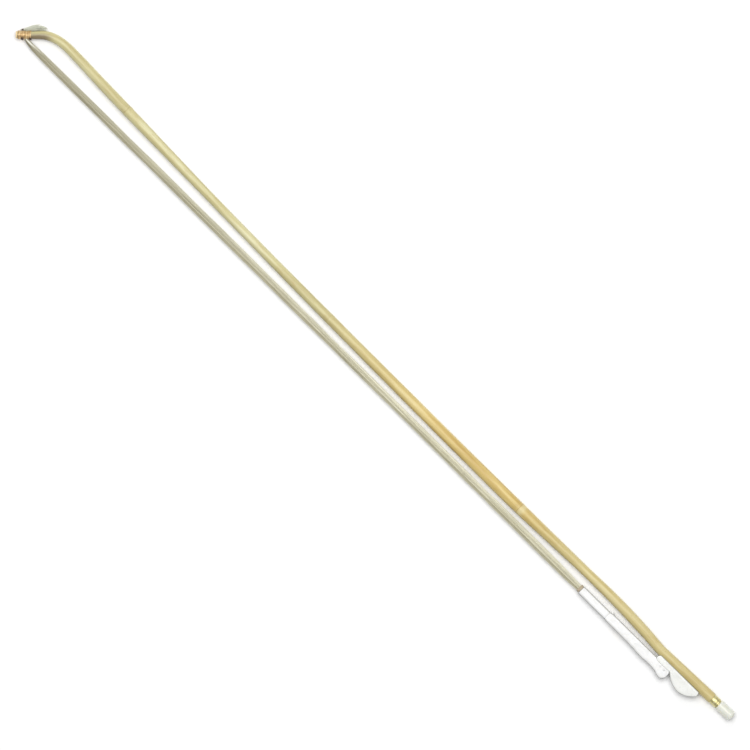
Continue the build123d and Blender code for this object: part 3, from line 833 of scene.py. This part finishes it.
def locks(count, groups):
    """Places of hairs in a disc of radius 1, gathered in locks, with each hair's lock."""
    order = np.arange(groups)
    radius = 0.80 * np.sqrt((order + 0.4) / groups)
    angle = order * 2.39996
    lock = np.arange(count) % groups
    a, b = disc(count)
    a = radius[lock] * np.cos(angle[lock]) + 0.235 * a
    b = radius[lock] * np.sin(angle[lock]) + 0.235 * b
    out = np.maximum(np.hypot(a, b), 1)
    return a / out, b / out, lock


def stray(lock, share):
    """How far each hair strays from its place: a little by itself and more with its lock."""
    return (rng.normal(0, 0.05, HAIR_COUNT) + rng.normal(0, 0.13, HAIR_LOCKS)[lock]) * share


def band_paths():
    """Paths of hairs from inside the tip's hole to inside the sleeve, and each hair's lock."""
    a, b, lock = locks(HAIR_COUNT, HAIR_LOCKS)
    rows = [tip.at(HOLE_AT + 1.62 * a, across, 1.60 * b) for across in (-1.2, -2.3, -3.3)]
    known = np.concatenate([HAIR_BEND, HAIR_STATIONS])
    places = np.unique(np.concatenate([known[:, 0], np.linspace(-340, 225, 22)]))
    for x, (y, half_y, half_z) in zip(places, smooth_through(known[:, 0], known[:, 1:], places)):
        open_run = fade(x, -404, -374) * fade(x, 246, 226)
        across = y + (half_y - 0.12) * a + stray(lock, open_run)
        up = (half_z - 0.12) * b + stray(lock, open_run)
        # Hairs that stray out of the band's section are pulled back onto its edge.
        if x > HAIR_STATIONS[0, 0]:
            y, half_y, half_z = smooth_through(HAIR_STATIONS[:, 0], HAIR_STATIONS[:, 1:], [x])[0]
        else:
            y, half_y, half_z = across.mean(), 2.6, 2.4
        pull = 1 / np.maximum(np.hypot((across - y) / half_y, up / half_z), 1)
        rows.append(bow.at(x, y + (across - y) * pull, up * pull))
    return np.stack(rows, axis=1), lock


def set_streaks(made):
    """Painted highlight down one line of the hair where it leaves the tip, with painted shadow on either side of
    it.
    """
    knots = np.array([
        tip.at(HOLE_AT, -1.5)[:2], tip.at(HOLE_AT, -3.3)[:2], *STREAK_BEND, *HAIR_STATIONS[:2, :2],
    ])
    place = distances(knots)
    fine = np.linspace(0, place[-1], 120)
    line = smooth_through(place, knots, fine)
    ahead = unit(np.gradient(line, axis=0))
    half = np.interp(fine, place, (1.62, 1.62, 2.05, 2.38, 2.75, 3.15))
    points = points_of(made)[:, :2]
    near_end = points[:, 0] < -386
    some = points[near_end]
    near = ((some[:, None, :] - line) ** 2).sum(axis=2).argmin(axis=1)
    offset = some - line[near]
    across = (ahead[near, 0] * offset[:, 1] - ahead[near, 1] * offset[:, 0]) / half[near]
    from_highlight = across + 0.30 - 0.055 * fine[near]
    strength = fade(fine[near], 15, 8)
    light, dark = np.zeros(len(points)), np.zeros(len(points))
    # Painted highlight along the middle line, painted shadow on either side.
    light[near_end] = 0.9 * strength * bell(from_highlight, 0.26)
    dark[near_end] = 0.55 * strength * np.clip(fade(from_highlight, -0.25, -0.45) + fade(from_highlight, 0.38, 0.63), 0, 1)
    set_attribute(made, "painted_highlight_streak", light)
    set_attribute(made, "painted_shadow_streak", dark)


band_path, band_lock = band_paths()
lock_shade = rng.permutation(np.linspace(0.08, 0.88, HAIR_LOCKS))
band_shade = np.clip(0.78 * lock_shade[band_lock] + 0.10 + rng.normal(0, 0.20, HAIR_COUNT), 0, 1)
band = strands("hair_band", band_path, rng.uniform(0.12, 0.17, HAIR_COUNT), shade=band_shade)
set_streaks(band)
finish_with(band, horsehair, None, "horsehair", "hair_band")
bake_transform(band)

# Hair inside the hole through the tip.
ROOT_COUNT = 110
a, b = disc(ROOT_COUNT)
root_path = []
for across in np.linspace(-3.45, 3.45, 9):
    swell = 1.60 * (1 + 0.04 * math.cos(across))
    root_path.append(tip.at(HOLE_AT + swell * a, across, swell * b))
root_path = np.stack(root_path, axis=1)
root_radii = rng.uniform(0.12, 0.17, ROOT_COUNT)
tip_root = strands("tip_hair_root", root_path, root_radii, shade=rng.random(ROOT_COUNT))
finish_with(tip_root, horsehair, "stick", "horsehair", "tip_hair_root")

# Tail of the hair, laid back along the outer side of the tip.
# Its stations: place along the tip, height above its axis, half its height, half its width.
TUFT = np.array([
    (3.9, 4.50, 0.35, 1.20), (5.0, 4.50, 0.42, 1.45), (6.6, 4.50, 0.46, 1.50), (8.0, 4.95, 1.15, 1.90),
    (10.7, 5.35, 1.70, 2.25), (15.0, 5.90, 2.15, 2.75), (20.0, 6.00, 2.20, 2.95), (24.0, 5.65, 1.75, 2.80),
    (26.8, 5.10, 0.95, 2.10),
])
TUFT_FLOOR = 3.5


def tuft_paths(count, first, lead=()):
    """Hairs of the tuft from a place along it to their own ragged ends, after leading out of the hole."""
    a, b = disc(count)
    rows = [tip.at(HOLE_AT + 1.5 * a + shift, height + 0.12 * b, 1.5 * b) for height, shift in lead]
    ends = TUFT[-1, 0] - 11.0 * rng.random(count) ** 1.2
    kick = rng.choice(rng.normal(0.2, 0.85, 14), count) + rng.normal(0, 0.22, count)
    kick_side = rng.normal(0, 0.55, count)
    for t in np.linspace(0, 1, 15):
        along = first + (ends - first) * t
        height, half_y, half_z = smooth_through(TUFT[:, 0], TUFT[:, 1:], along).T
        wild = fade(along, 8, 22) ** 1.5
        height = height + (half_y - 0.08) * a + (kick + rng.normal(0, 0.07, count)) * wild
        side = (half_z - 0.08) * b + (kick_side + rng.normal(0, 0.07, count)) * wild
        rows.append(tip.at(along, np.maximum(height, TUFT_FLOOR), side))
    return np.stack(rows, axis=1)


tufts = []
for paths in tuft_paths(120, TUFT[0, 0]), tuft_paths(70, 12.2, ((3.3, 0.0), (3.9, 0.25), (4.45, 0.9))):
    count, length = paths.shape[:2]
    taper = np.append(np.ones(length - 1), 0.45)
    radii = rng.uniform(0.10, 0.145, count)
    tufts.append(strands("tuft", paths, radii, taper, shade=np.clip(rng.normal(0.4, 0.27, count), 0, 1)))
tuft = join("tip_hair_tuft", tufts)
finish_with(tuft, tuft_hair, "stick", "horsehair", "tip_hair_tuft")

# ---------------------------------------------------------------- threads and the hair's hidden ends
def make_tuft_knot():
    """Thread wound round the tuft, with one loose end."""
    angle = np.arange(0, 8 * FULL_TURN, FULL_TURN / 36)
    along = 4.98 + 1.62 * angle / angle[-1]
    grow = 1 + 0.03 * np.sin(angle * 0.7)
    turns = tip.at(along, TUFT[0, 1] + 0.60 * grow * np.cos(angle), 1.86 * grow * np.sin(angle))
    t = np.linspace(0, 1, 14)
    loose_end = tip.at(5.9 + 0.5 * t, 5.15 + 0.25 * np.sin(t * 3.0), 0.2 + 2.2 * t)
    return wires("tip_hair_knot", [turns, loose_end], 0.115, 8)


def make_dark_spot_knots():
    """Two small knots of dark thread on the wire, either side of the hair. They stand in for dark spots there
    that are mostly shadow, so they are largely painted shadow.
    """
    out = -0.72 * tip.y + 0.69 * UP
    sideways = np.cross(out, tip.x)
    paths = []
    for along, lean, grow in ((5.7, 0.3, 0.42), (12.5, -0.5, 0.40)):
        t = np.linspace(0, FULL_TURN, 44)[:-1, None] + lean
        loop = (np.sin(t) + 2 * np.sin(2 * t)) * tip.x + (np.cos(t) - 2 * np.cos(2 * t)) * sideways
        paths.append(tip.at(along, -3.35, 2.45) + grow * (loop - 0.9 * np.sin(3 * t) * out))
    return wires("tip_dark_spot_knots", paths, 0.36)


def make_lashing():
    """An inner and an outer layer of turns at the sleeve's mouth."""
    layers = []
    for inset, first, last, phase in ((3.14, 248.84, 251.2, 0.0), (3.41, 248.88, 251.16, 2.0)):
        angle = np.arange(0, 9 * FULL_TURN, FULL_TURN / 48)
        along = first + (last - first) * angle / angle[-1]
        layers.append(hair.at(along, inset * np.cos(angle + phase), (inset - 0.2) * np.sin(angle + phase)))
    return wires("hair_lashing", layers, 0.138, 8)


finish_with(make_tuft_knot(), dark_thread, "stick", "dark_thread", "tip_hair_knot")
# Dark knots that stand in for the shadow either side of the hair.
finish_with(make_dark_spot_knots(), dark_thread, "stick", "dark_thread")
finish_with(make_lashing(), tan_thread, "frog", "tan_thread", "hair_lashing")

# Hair inside the sleeve, and its knotted end in the arm's pocket.
INNER_COUNT, KNOT_COUNT = 120, 46
a, b = disc(INNER_COUNT)
inner = np.stack([hair.at(x, 2.36 * a, 2.36 * b) for x in np.linspace(SLEEVE_FRONT + 0.4, 294.0, 9)], axis=1)
frog_root = strands("frog_hair_root", inner, rng.uniform(0.12, 0.18, INNER_COUNT), shade=rng.random(INNER_COUNT))
finish_with(frog_root, horsehair, "frog", "horsehair", "frog_hair_root")

loops = []
for _ in range(KNOT_COUNT):
    phase = rng.random() * FULL_TURN
    lift = rng.uniform(0.9, 2.35)
    tilt = rng.uniform(-0.5, 0.5)
    t = np.linspace(0, FULL_TURN * 1.6, 26)
    along = 296.75 + (2.2 + 0.2 * tilt) * np.cos(t * 0.62 + phase)
    loops.append(hair.about(along, lift * (1 - 0.15 * np.cos(t * 0.6)), t + phase))
frog_knot = strands("frog_hair_knot", loops, rng.uniform(0.16, 0.24, KNOT_COUNT), shade=rng.random(KNOT_COUNT))
finish_with(frog_knot, horsehair, "frog", "horsehair", "frog_hair_knot")


# ---------------------------------------------------------------- frog: outlines
def arc_through(a, b, c, count=60):
    """Points of a circle's arc through three points in the bow's plane."""
    a, b, c = (np.array(p, float) for p in (a, b, c))
    centre = np.linalg.solve(2 * np.array([b - a, c - a]), np.array([b @ b - a @ a, c @ c - a @ a]))
    turns = np.unwrap([math.atan2(*(p - centre)[::-1]) for p in (a, b, c)])
    if (turns[1] - turns[0]) * (turns[2] - turns[1]) < 0:
        turns[2] += FULL_TURN * np.sign(turns[1] - turns[0])
    sweep = np.linspace(turns[0], turns[2], count)
    return centre + np.linalg.norm(a - centre) * np.stack([np.cos(sweep), np.sin(sweep)], axis=1)


def curve_2d(*points):
    """Smooth line through points in the bow's plane."""
    points = np.array(points, float)
    place = distances(points)
    return smooth_through(place, points, np.linspace(0, place[-1], 80))


def edge_line(*pieces):
    """A function of x from pieces of outline that run from low x to high x."""
    line = np.concatenate([np.asarray(piece, float) for piece in pieces])
    line = line[np.argsort(line[:, 0], kind="stable")]
    return lambda x: float(np.interp(x, line[:, 0], line[:, 1]))


def spaced(start, end, count, ends):
    """Places from start to end, bunched within the given distance of each end."""
    bunched = (1 - np.cos(np.linspace(0, QUARTER_TURN, 22))) * ends
    middle = np.linspace(start + ends, end - ends, count)
    return np.unique(np.round(np.concatenate([start + bunched, middle, end - bunched]), 4))


def section_ring(x, low, high, half, corner, upper, saddle=None):
    """Rounded rectangle across the bow at x, with an optional hollow in its top for the cane."""
    height = max(high - low, 0.02)
    corner, upper = (min(radius, height * 0.499, half * 0.98) for radius in (corner, upper))
    flat = np.linspace(-1, 1, 41)
    side = np.linspace(-1, 1, 9)[1:-1]
    arc = np.linspace(0, QUARTER_TURN, 7)
    sin, cos = np.sin(arc), np.cos(arc)
    base, brow = low + corner, high - upper
    wide, wide_up = half - corner, half - upper
    middle, rise = (brow + base) / 2, (brow - base) / 2
    y = np.concatenate([
        np.full(41, high), brow + upper * cos[1:], middle - rise * side, base - corner * sin,
        np.full(40, low), base - corner * cos[1:], middle + rise * side, brow + upper * sin[:-1],
    ])
    z = np.concatenate([
        -wide_up * flat, -wide_up - upper * sin[1:], np.full(7, -half), -wide - corner * cos,
        wide * flat[1:], wide + corner * sin[1:], np.full(7, half), wide_up + upper * cos[:-1],
    ])
    if saddle is not None:
        centre, radius = saddle
        wall = centre - np.sqrt(np.maximum(radius**2 - z**2, 0))
        hollow = (np.abs(z) < radius) & (y > (low + high) / 2)
        y = np.where(hollow, np.maximum(np.minimum(y, wall), low + 0.3), y)
    return bow.at(x, y, z)


# The arm lies against the fishtail along a straight seam, behind the fishtail's round nose.
SEAM_Y, SEAM_GAP, FISH_TOP, SEAM_FRONT = -6.2, 0.04, -0.92, 338.9
nose = arc_through((339.7, FISH_TOP), (336.7, -3.3), (338.8, SEAM_Y))
front = nose[:, 0].argmin()
rear = arc_through((381.6, -7.4), (383.6, -3.4), (382.6, FISH_TOP))
back = rear[:, 0].argmax()
lobe = curve_2d((352.8, SEAM_Y), (358.2, -10.1), (364.6, -12.7), (370.6, -13.15), (377.2, -10.9), (381.6, -7.4))
fish_top = edge_line(nose[: front + 1], [(341.0, FISH_TOP), (382.5, FISH_TOP)], rear[back:])
fish_bottom = edge_line(nose[front:], [(SEAM_FRONT, SEAM_Y), (352.7, SEAM_Y)], lobe, rear[: back + 1])

ARM_TOP, ARM_LOW_FRONT, ARM_HALF, ARM_CORNER = -4.72, -13.15, 4.6, 1.5
heel = curve_2d((343.4, -14.35), (347.4, -15.7), (350.4, -15.9), (353.0, -13.8))
heel_rear = arc_through((353.0, -13.8), (353.9, -10.2), (352.8, SEAM_Y - SEAM_GAP))
heel_back = heel_rear[:, 0].argmax()
belly = curve_2d(
    (ARM_FRONT, ARM_LOW_FRONT), (300.0, -13.3), (313.0, -13.5), (325.0, -14.25), (337.5, -13.9), (343.4, -14.35),
)
nose_low = nose[nose[:, 1] < ARM_TOP - 0.02] - np.array((SEAM_GAP, 0.0))
arm_bottom = edge_line(belly, heel, heel_rear[: heel_back + 1])
arm_top = edge_line(
    [(ARM_FRONT, ARM_TOP), (nose_low[0, 0] - 0.25, ARM_TOP)], nose_low,
    [(SEAM_FRONT, SEAM_Y - SEAM_GAP), (352.79, SEAM_Y - SEAM_GAP)], heel_rear[heel_back:],
)

# A tongue under the fishtail goes into a slot in the arm, and two pins go through both.
TONGUE_START, TONGUE_END, TONGUE_LOW, TONGUE_HALF = 341.6, 350.6, -9.8, 1.7
PIN_RADIUS = 0.85
pin_axes = [Axes((x, -8.0, PLANE_Z), UP, (1.0, 0.0, 0.0)) for x in (344.0, 348.4)]
nub_axis = Axes((284.4, 0.0, PLANE_Z), ACROSS)
eye_stem = Axes(tail.at(-27.0), tail.y)
FROG_ANGLE = 42


def pin_holes():
    return [drill(axes, -6.0, 6.0, PIN_RADIUS, 32) for axes in pin_axes]


# ---------------------------------------------------------------- frog: pieces
def make_fishtail():
    """White block with a rounded lobe. It holds the screw eye and rides under the cane."""
    rings = []
    for x in spaced(nose[front, 0] + 0.002, rear[back, 0] - 0.002, 110, 3.4):
        along = (x - TAIL_END[0]) / TAIL_X[0]
        saddle = (TAIL_END[1] + along * TAIL_X[1], tail_radius(along, 6.0) + 0.3)
        half = PLANE_Z - 0.01 - setback(min(x - nose[front, 0], rear[back, 0] - x), 0.6)
        under = 0.20 if x < 352.6 else 1.15
        rings.append(section_ring(x, fish_bottom(x), fish_top(x), half, under, 1.15, saddle))
    made = loft("frog_fishtail", rings)
    weld(made)
    combine(made, "UNION", block(bow, TONGUE_START, TONGUE_END, TONGUE_LOW, SEAM_Y + 1, TONGUE_HALF))
    combine(
        made, "DIFFERENCE",
        block(tail, -29.35, -24.65, -6.45, 0.0, 2.05), drill(eye_stem, -10.05, 0.0, 1.55, 32), *pin_holes(),
    )
    return made


def make_arm():
    """Long white arm with a heel. Its front end is faired down to the sleeve's section."""
    rings = []
    end = heel_rear[heel_back, 0]
    places = np.concatenate([spaced(ARM_FRONT, end - 0.002, 120, 2.6), np.linspace(336.5, 339.2, 26)])
    for x in np.unique(np.round(places, 4)):
        round_front = setback(x - ARM_FRONT, 0.06)
        fair = ease(fade(x, ARM_FRONT + 3.2, ARM_FRONT))
        low = arm_bottom(x) + fair * (SLEEVE_Y - SLEEVE_HALF_Y + 0.04 - ARM_LOW_FRONT)
        high = arm_top(x) + fair * (SLEEVE_Y + SLEEVE_HALF_Y - 0.04 - ARM_TOP)
        half = ARM_HALF - setback(end - x, 0.9) - round_front - 0.75 * fair - 0.16 * bell(x - 331, 9)
        upper = ARM_CORNER if x < 336 else max(ARM_CORNER - 1.3 * (x - 336) / 2.2, 0.2)
        rings.append(section_ring(x, low + round_front, high - round_front, half, ARM_CORNER, upper))
    made = loft("frog_arm", rings)
    weld(made)
    combine(
        made, "DIFFERENCE",
        drill(hair, ARM_FRONT - 1, 290.05, 3.3, 48),
        drill(hair, ARM_FRONT - 2, 295.0, SLEEVE_BORE, 48),
        block(bow, 294.0, 304.0, -20, -6.1, 2.7),
        block(
            bow, TONGUE_START - SEAM_GAP, TONGUE_END + SEAM_GAP, TONGUE_LOW - SEAM_GAP, -5.0,
            TONGUE_HALF + SEAM_GAP,
        ),
        *pin_holes(), drill(nub_axis, -6.15, 0.0, 1.25, 32),
    )
    return made


SLEEVE_BORE, SLEEVE_HALF_Z, SLEEVE_CORNER, SPIGOT_END, SPIGOT_RADIUS = 2.55, 3.85, 1.7, 290.0, 3.25


def sleeve_section(x, half_y, half_z, corner, drop=0.0, count=96):
    """Rounded rectangle about the hair's axis, as points at even angles."""
    corner = min(corner, half_y, half_z)
    outline = []
    for quarter, (side_y, side_z) in enumerate(((1, 1), (-1, 1), (-1, -1), (1, -1))):
        bearing = quarter * QUARTER_TURN + np.linspace(0, QUARTER_TURN, 17)
        outline.append(np.stack([
            side_y * (half_y - corner) + corner * np.cos(bearing),
            side_z * (half_z - corner) + corner * np.sin(bearing),
        ], axis=1))
    outline = np.concatenate(outline + [outline[0][:1]])
    steps = np.linspace(0, len(outline) - 1, 20 * len(outline))
    y, z = (np.interp(steps, np.arange(len(outline)), side) for side in outline.T)
    bearings = np.unwrap(np.arctan2(z, y))
    angle = circle(count)
    reach = np.interp((angle - bearings[0]) % FULL_TURN + bearings[0], bearings, np.hypot(y, z))
    return hair.at(x, reach * np.cos(angle) - drop, reach * np.sin(angle))


def make_sleeve():
    """White sleeve: its bore from back to front, a rounded mouth, its outside, and a spigot in the arm."""
    start, end, drop = SLEEVE_FRONT, ARM_FRONT - SEAM_GAP, HAIR_Y - SLEEVE_Y

    def round_bore(x, radius):
        return sleeve_section(x, radius, radius, radius)

    def outside(x, inset):
        return sleeve_section(x, SLEEVE_HALF_Y - inset, SLEEVE_HALF_Z - inset, SLEEVE_CORNER, drop)

    rings = [round_bore(SPIGOT_END - 0.1, SLEEVE_BORE), round_bore(start + 1.2, SLEEVE_BORE)]
    for t in np.linspace(0, QUARTER_TURN, 7):
        size = SLEEVE_BORE + 0.45 * (1 - math.cos(t))
        rings.append(sleeve_section(start + 0.5 * (1 - math.sin(t)), size, size, 2.6))
    for t in np.linspace(0, QUARTER_TURN, 8):
        rings.append(outside(start + 0.7 * (1 - math.cos(t)), 0.55 * (1 - math.sin(t))))
    for x in np.linspace(start + 1.5, end - 1.0, 24):
        rings.append(outside(x, 0.05 - 0.05 * math.sin((x - start) / (end - start) * math.pi)))
    for t in np.linspace(0, QUARTER_TURN, 6):
        rings.append(outside(end - 0.06 * (1 - math.sin(t)), 0.05 + 0.06 * (1 - math.cos(t))))
    spigot = [(end, SPIGOT_RADIUS), (SPIGOT_END - 0.2, SPIGOT_RADIUS), (SPIGOT_END, 3.1), (SPIGOT_END, 2.6)]
    rings += [round_bore(x, radius) for x, radius in spigot]
    made = loft("hair_sleeve", rings + rings[:1], caps=False)
    weld(made)
    return made


for make, paint, painted_edge_shade, node in (
    (make_fishtail, white_tail, 0.72, "frog_fishtail"),
    (make_arm, white, 0.85, "frog_arm"),
    (make_sleeve, white, 0.85, "hair_sleeve"),
):
    made = make()
    smooth(made, FROG_ANGLE)
    # Painted shade on each part's rounded edges, a little weaker on the fishtail.
    set_painted_edge_shade(made, painted_edge_shade)
    finish_with(made, paint, "frog", "white_plastic", node)

nub = profile_of([(-6.15, 0.0, 0), (-6.15, 1.2, 0.2), (-3.3, 1.2, 0.75), (-3.3, 0.0, 0)], 8)
finish_with(lathe("sleeve_pin", nub_axis, nub, 40), white, "frog", "white_plastic", "sleeve_pin")

pin = profile_of([(-4.6, 0.0, 0), (-4.6, 0.8, 0.12), (4.6, 0.8, 0.12), (4.6, 0.0, 0)], 4)
arm_pins = join("arm_pins", [lathe("pin", axes, pin, 36) for axes in pin_axes])
finish_with(arm_pins, white, "frog", "white_plastic", "arm_pins")


# ---------------------------------------------------------------- tail: ferrule, washer, button, screw
FERRULE_END, WASHER_START, WASHER_END, BUTTON_END = 7.0, 7.05, 7.85, 23.2
ferrule_profile = profile_of([
    (0.04, 3.24, 0), (0.04, 4.15, 0.3), (1.15, 4.15, 0.06), (1.15, 3.98, 0.05), (1.45, 3.98, 0.05),
    (1.45, 4.12, 0.06), (5.5, 4.12, 0.06), (5.5, 3.96, 0.05), (5.8, 3.96, 0.05), (5.8, 4.15, 0.06),
    (FERRULE_END, 4.15, 0.35), (FERRULE_END, 1.75, 0.05), (6.04, 1.75, 0), (6.04, 3.24, 0), (0.04, 3.24, 0),
], 4)
ferrule = lathe("tail_ferrule", tail, ferrule_profile)
finish_with(ferrule, brass, "stick", "brass", "tail_ferrule")

washer_profile = profile_of([
    (WASHER_START, 1.76, 0), (WASHER_START, 3.38, 0.15), (WASHER_END, 3.38, 0.15), (WASHER_END, 1.76, 0.05),
    (WASHER_START, 1.76, 0),
], 5)
washer = lathe("thrust_washer", tail, washer_profile, 72)


def make_button():
    """Round knob with a slight waist and a domed end, bored for the screw."""
    outside = profile_of([
        (WASHER_END, 1.42, 0), (WASHER_END, 4.75, 0.55), (BUTTON_END, 4.75, 2.3), (BUTTON_END, 0.0, 0),
    ], 14)[:-1]
    outside += [(BUTTON_END, 2.0), (BUTTON_END, 1.0), (BUTTON_END, 0.0)]
    waisted = [(along, radius - 0.05 * math.sin(fade(along, 9, 22) * math.pi)) for along, radius in outside]
    return lathe("adjuster_button", tail, [(17.9, 0.0), (17.9, 1.42)] + waisted)


finish_with(make_button(), ivory, "adjuster", "ivory_plastic", "adjuster_button")

PITCH, THREAD_ROOT, THREAD_CREST = 0.7, 1.32, 1.69
THREAD_START, THREAD_STEPS = -44.0, 6


def make_screw():
    """Threaded rod with a tapered start and a plain shank inside the knob."""
    along = np.arange(THREAD_START, FERRULE_END, PITCH / THREAD_STEPS)[:, None]
    turn = circle(24)
    tooth = np.clip(1.25 - 2.5 * np.abs((along / PITCH - turn / FULL_TURN) % 1.0 - 0.5), 0, 1)
    lead_in = fade(along, THREAD_START, THREAD_START + 1.5)
    thread = tail.about(along, THREAD_ROOT + (THREAD_CREST - THREAD_ROOT) * tooth * lead_in, turn)
    shank = [(FERRULE_END, THREAD_CREST), (WASHER_END, THREAD_CREST), (WASHER_END, 1.4), (17.6, 1.4), (17.8, 1.2)]
    rings = np.concatenate([thread, [tail.about(x, radius, turn) for x, radius in shank]])
    offset = (rings - tail.o).reshape(-1, 3)
    return loft("adjuster_screw", rings, 30, grain=offset @ np.array([tail.x, tail.y, tail.z]).T)


finish_with(make_screw(), steel, "adjuster", "steel", "adjuster_screw")
finish_with(washer, brass, "adjuster", "brass", "thrust_washer")

# CAD nodes that stay as they are, apart from their material.
for node, paint in (("tip_hair_wedge", wood), ("pocket_plug", wood), ("screw_eye", plain_brass)):
    kept = frame["nodes"][node]
    kept.data.materials.clear()
    kept.data.materials.append(paint.material)


# ---------------------------------------------------------------- floor, light and camera
FLOOR_HALF, FLOOR_DROP = 12000.0, 0.05
corners = [(x * FLOOR_HALF, y * FLOOR_HALF, -FLOOR_DROP) for x, y in ((-1, -1), (1, -1), (1, 1), (-1, 1))]
floor = new_object("floor", corners, [(0, 1, 2, 3)])
floor.data.materials.append(floor_paint().material)

world = bpy.data.worlds.new("world")
world.use_nodes = True
world.node_tree.nodes["Background"].inputs["Color"].default_value = (1.0, 1.0, 1.0, 1.0)
world.node_tree.nodes["Background"].inputs["Strength"].default_value = 0.34
scene.world = world


def area_light(name, place, size, power):
    """Rectangular light aimed at the origin and hidden from the camera, in metres and watts."""
    data = bpy.data.lights.new(name, "AREA")
    data.shape = "RECTANGLE"
    data.size, data.size_y = size
    data.energy = power
    made = bpy.data.objects.new(name, data)
    made.location = place
    made.rotation_euler = (-Vector(place)).to_track_quat("-Z", "Y").to_euler()
    made.visible_camera = False
    scene.collection.objects.link(made)


area_light("overhead", (-0.26, 0.26, 2.4), (2.3, 1.5), 55)
area_light("key", (-1.2, 1.40, 1.6), (1.2, 1.2), 10)

# The camera looks straight down from far away. Its width of view is in metres.
CAMERA_AWAY, SEEN_WIDTH, SENSOR_WIDTH, CAMERA_TURN = 6.0, 0.63315, 36.0, 44.64
camera_data = bpy.data.cameras.new("camera")
camera_data.sensor_width = SENSOR_WIDTH
camera_data.lens = SENSOR_WIDTH * CAMERA_AWAY / SEEN_WIDTH
camera_data.clip_start = 0.1
camera_data.clip_end = 100.0
camera = bpy.data.objects.new("camera", camera_data)
camera.location = (0.00021, -0.00238, CAMERA_AWAY + PLANE_Z * MM)
camera.rotation_euler = (0.0, 0.0, math.radians(CAMERA_TURN))
scene.collection.objects.link(camera)
scene.camera = camera

scene.view_settings.view_transform = "Standard"
scene.view_settings.look = "None"
scene.view_settings.exposure = 0.0
scene.view_settings.gamma = 1.0
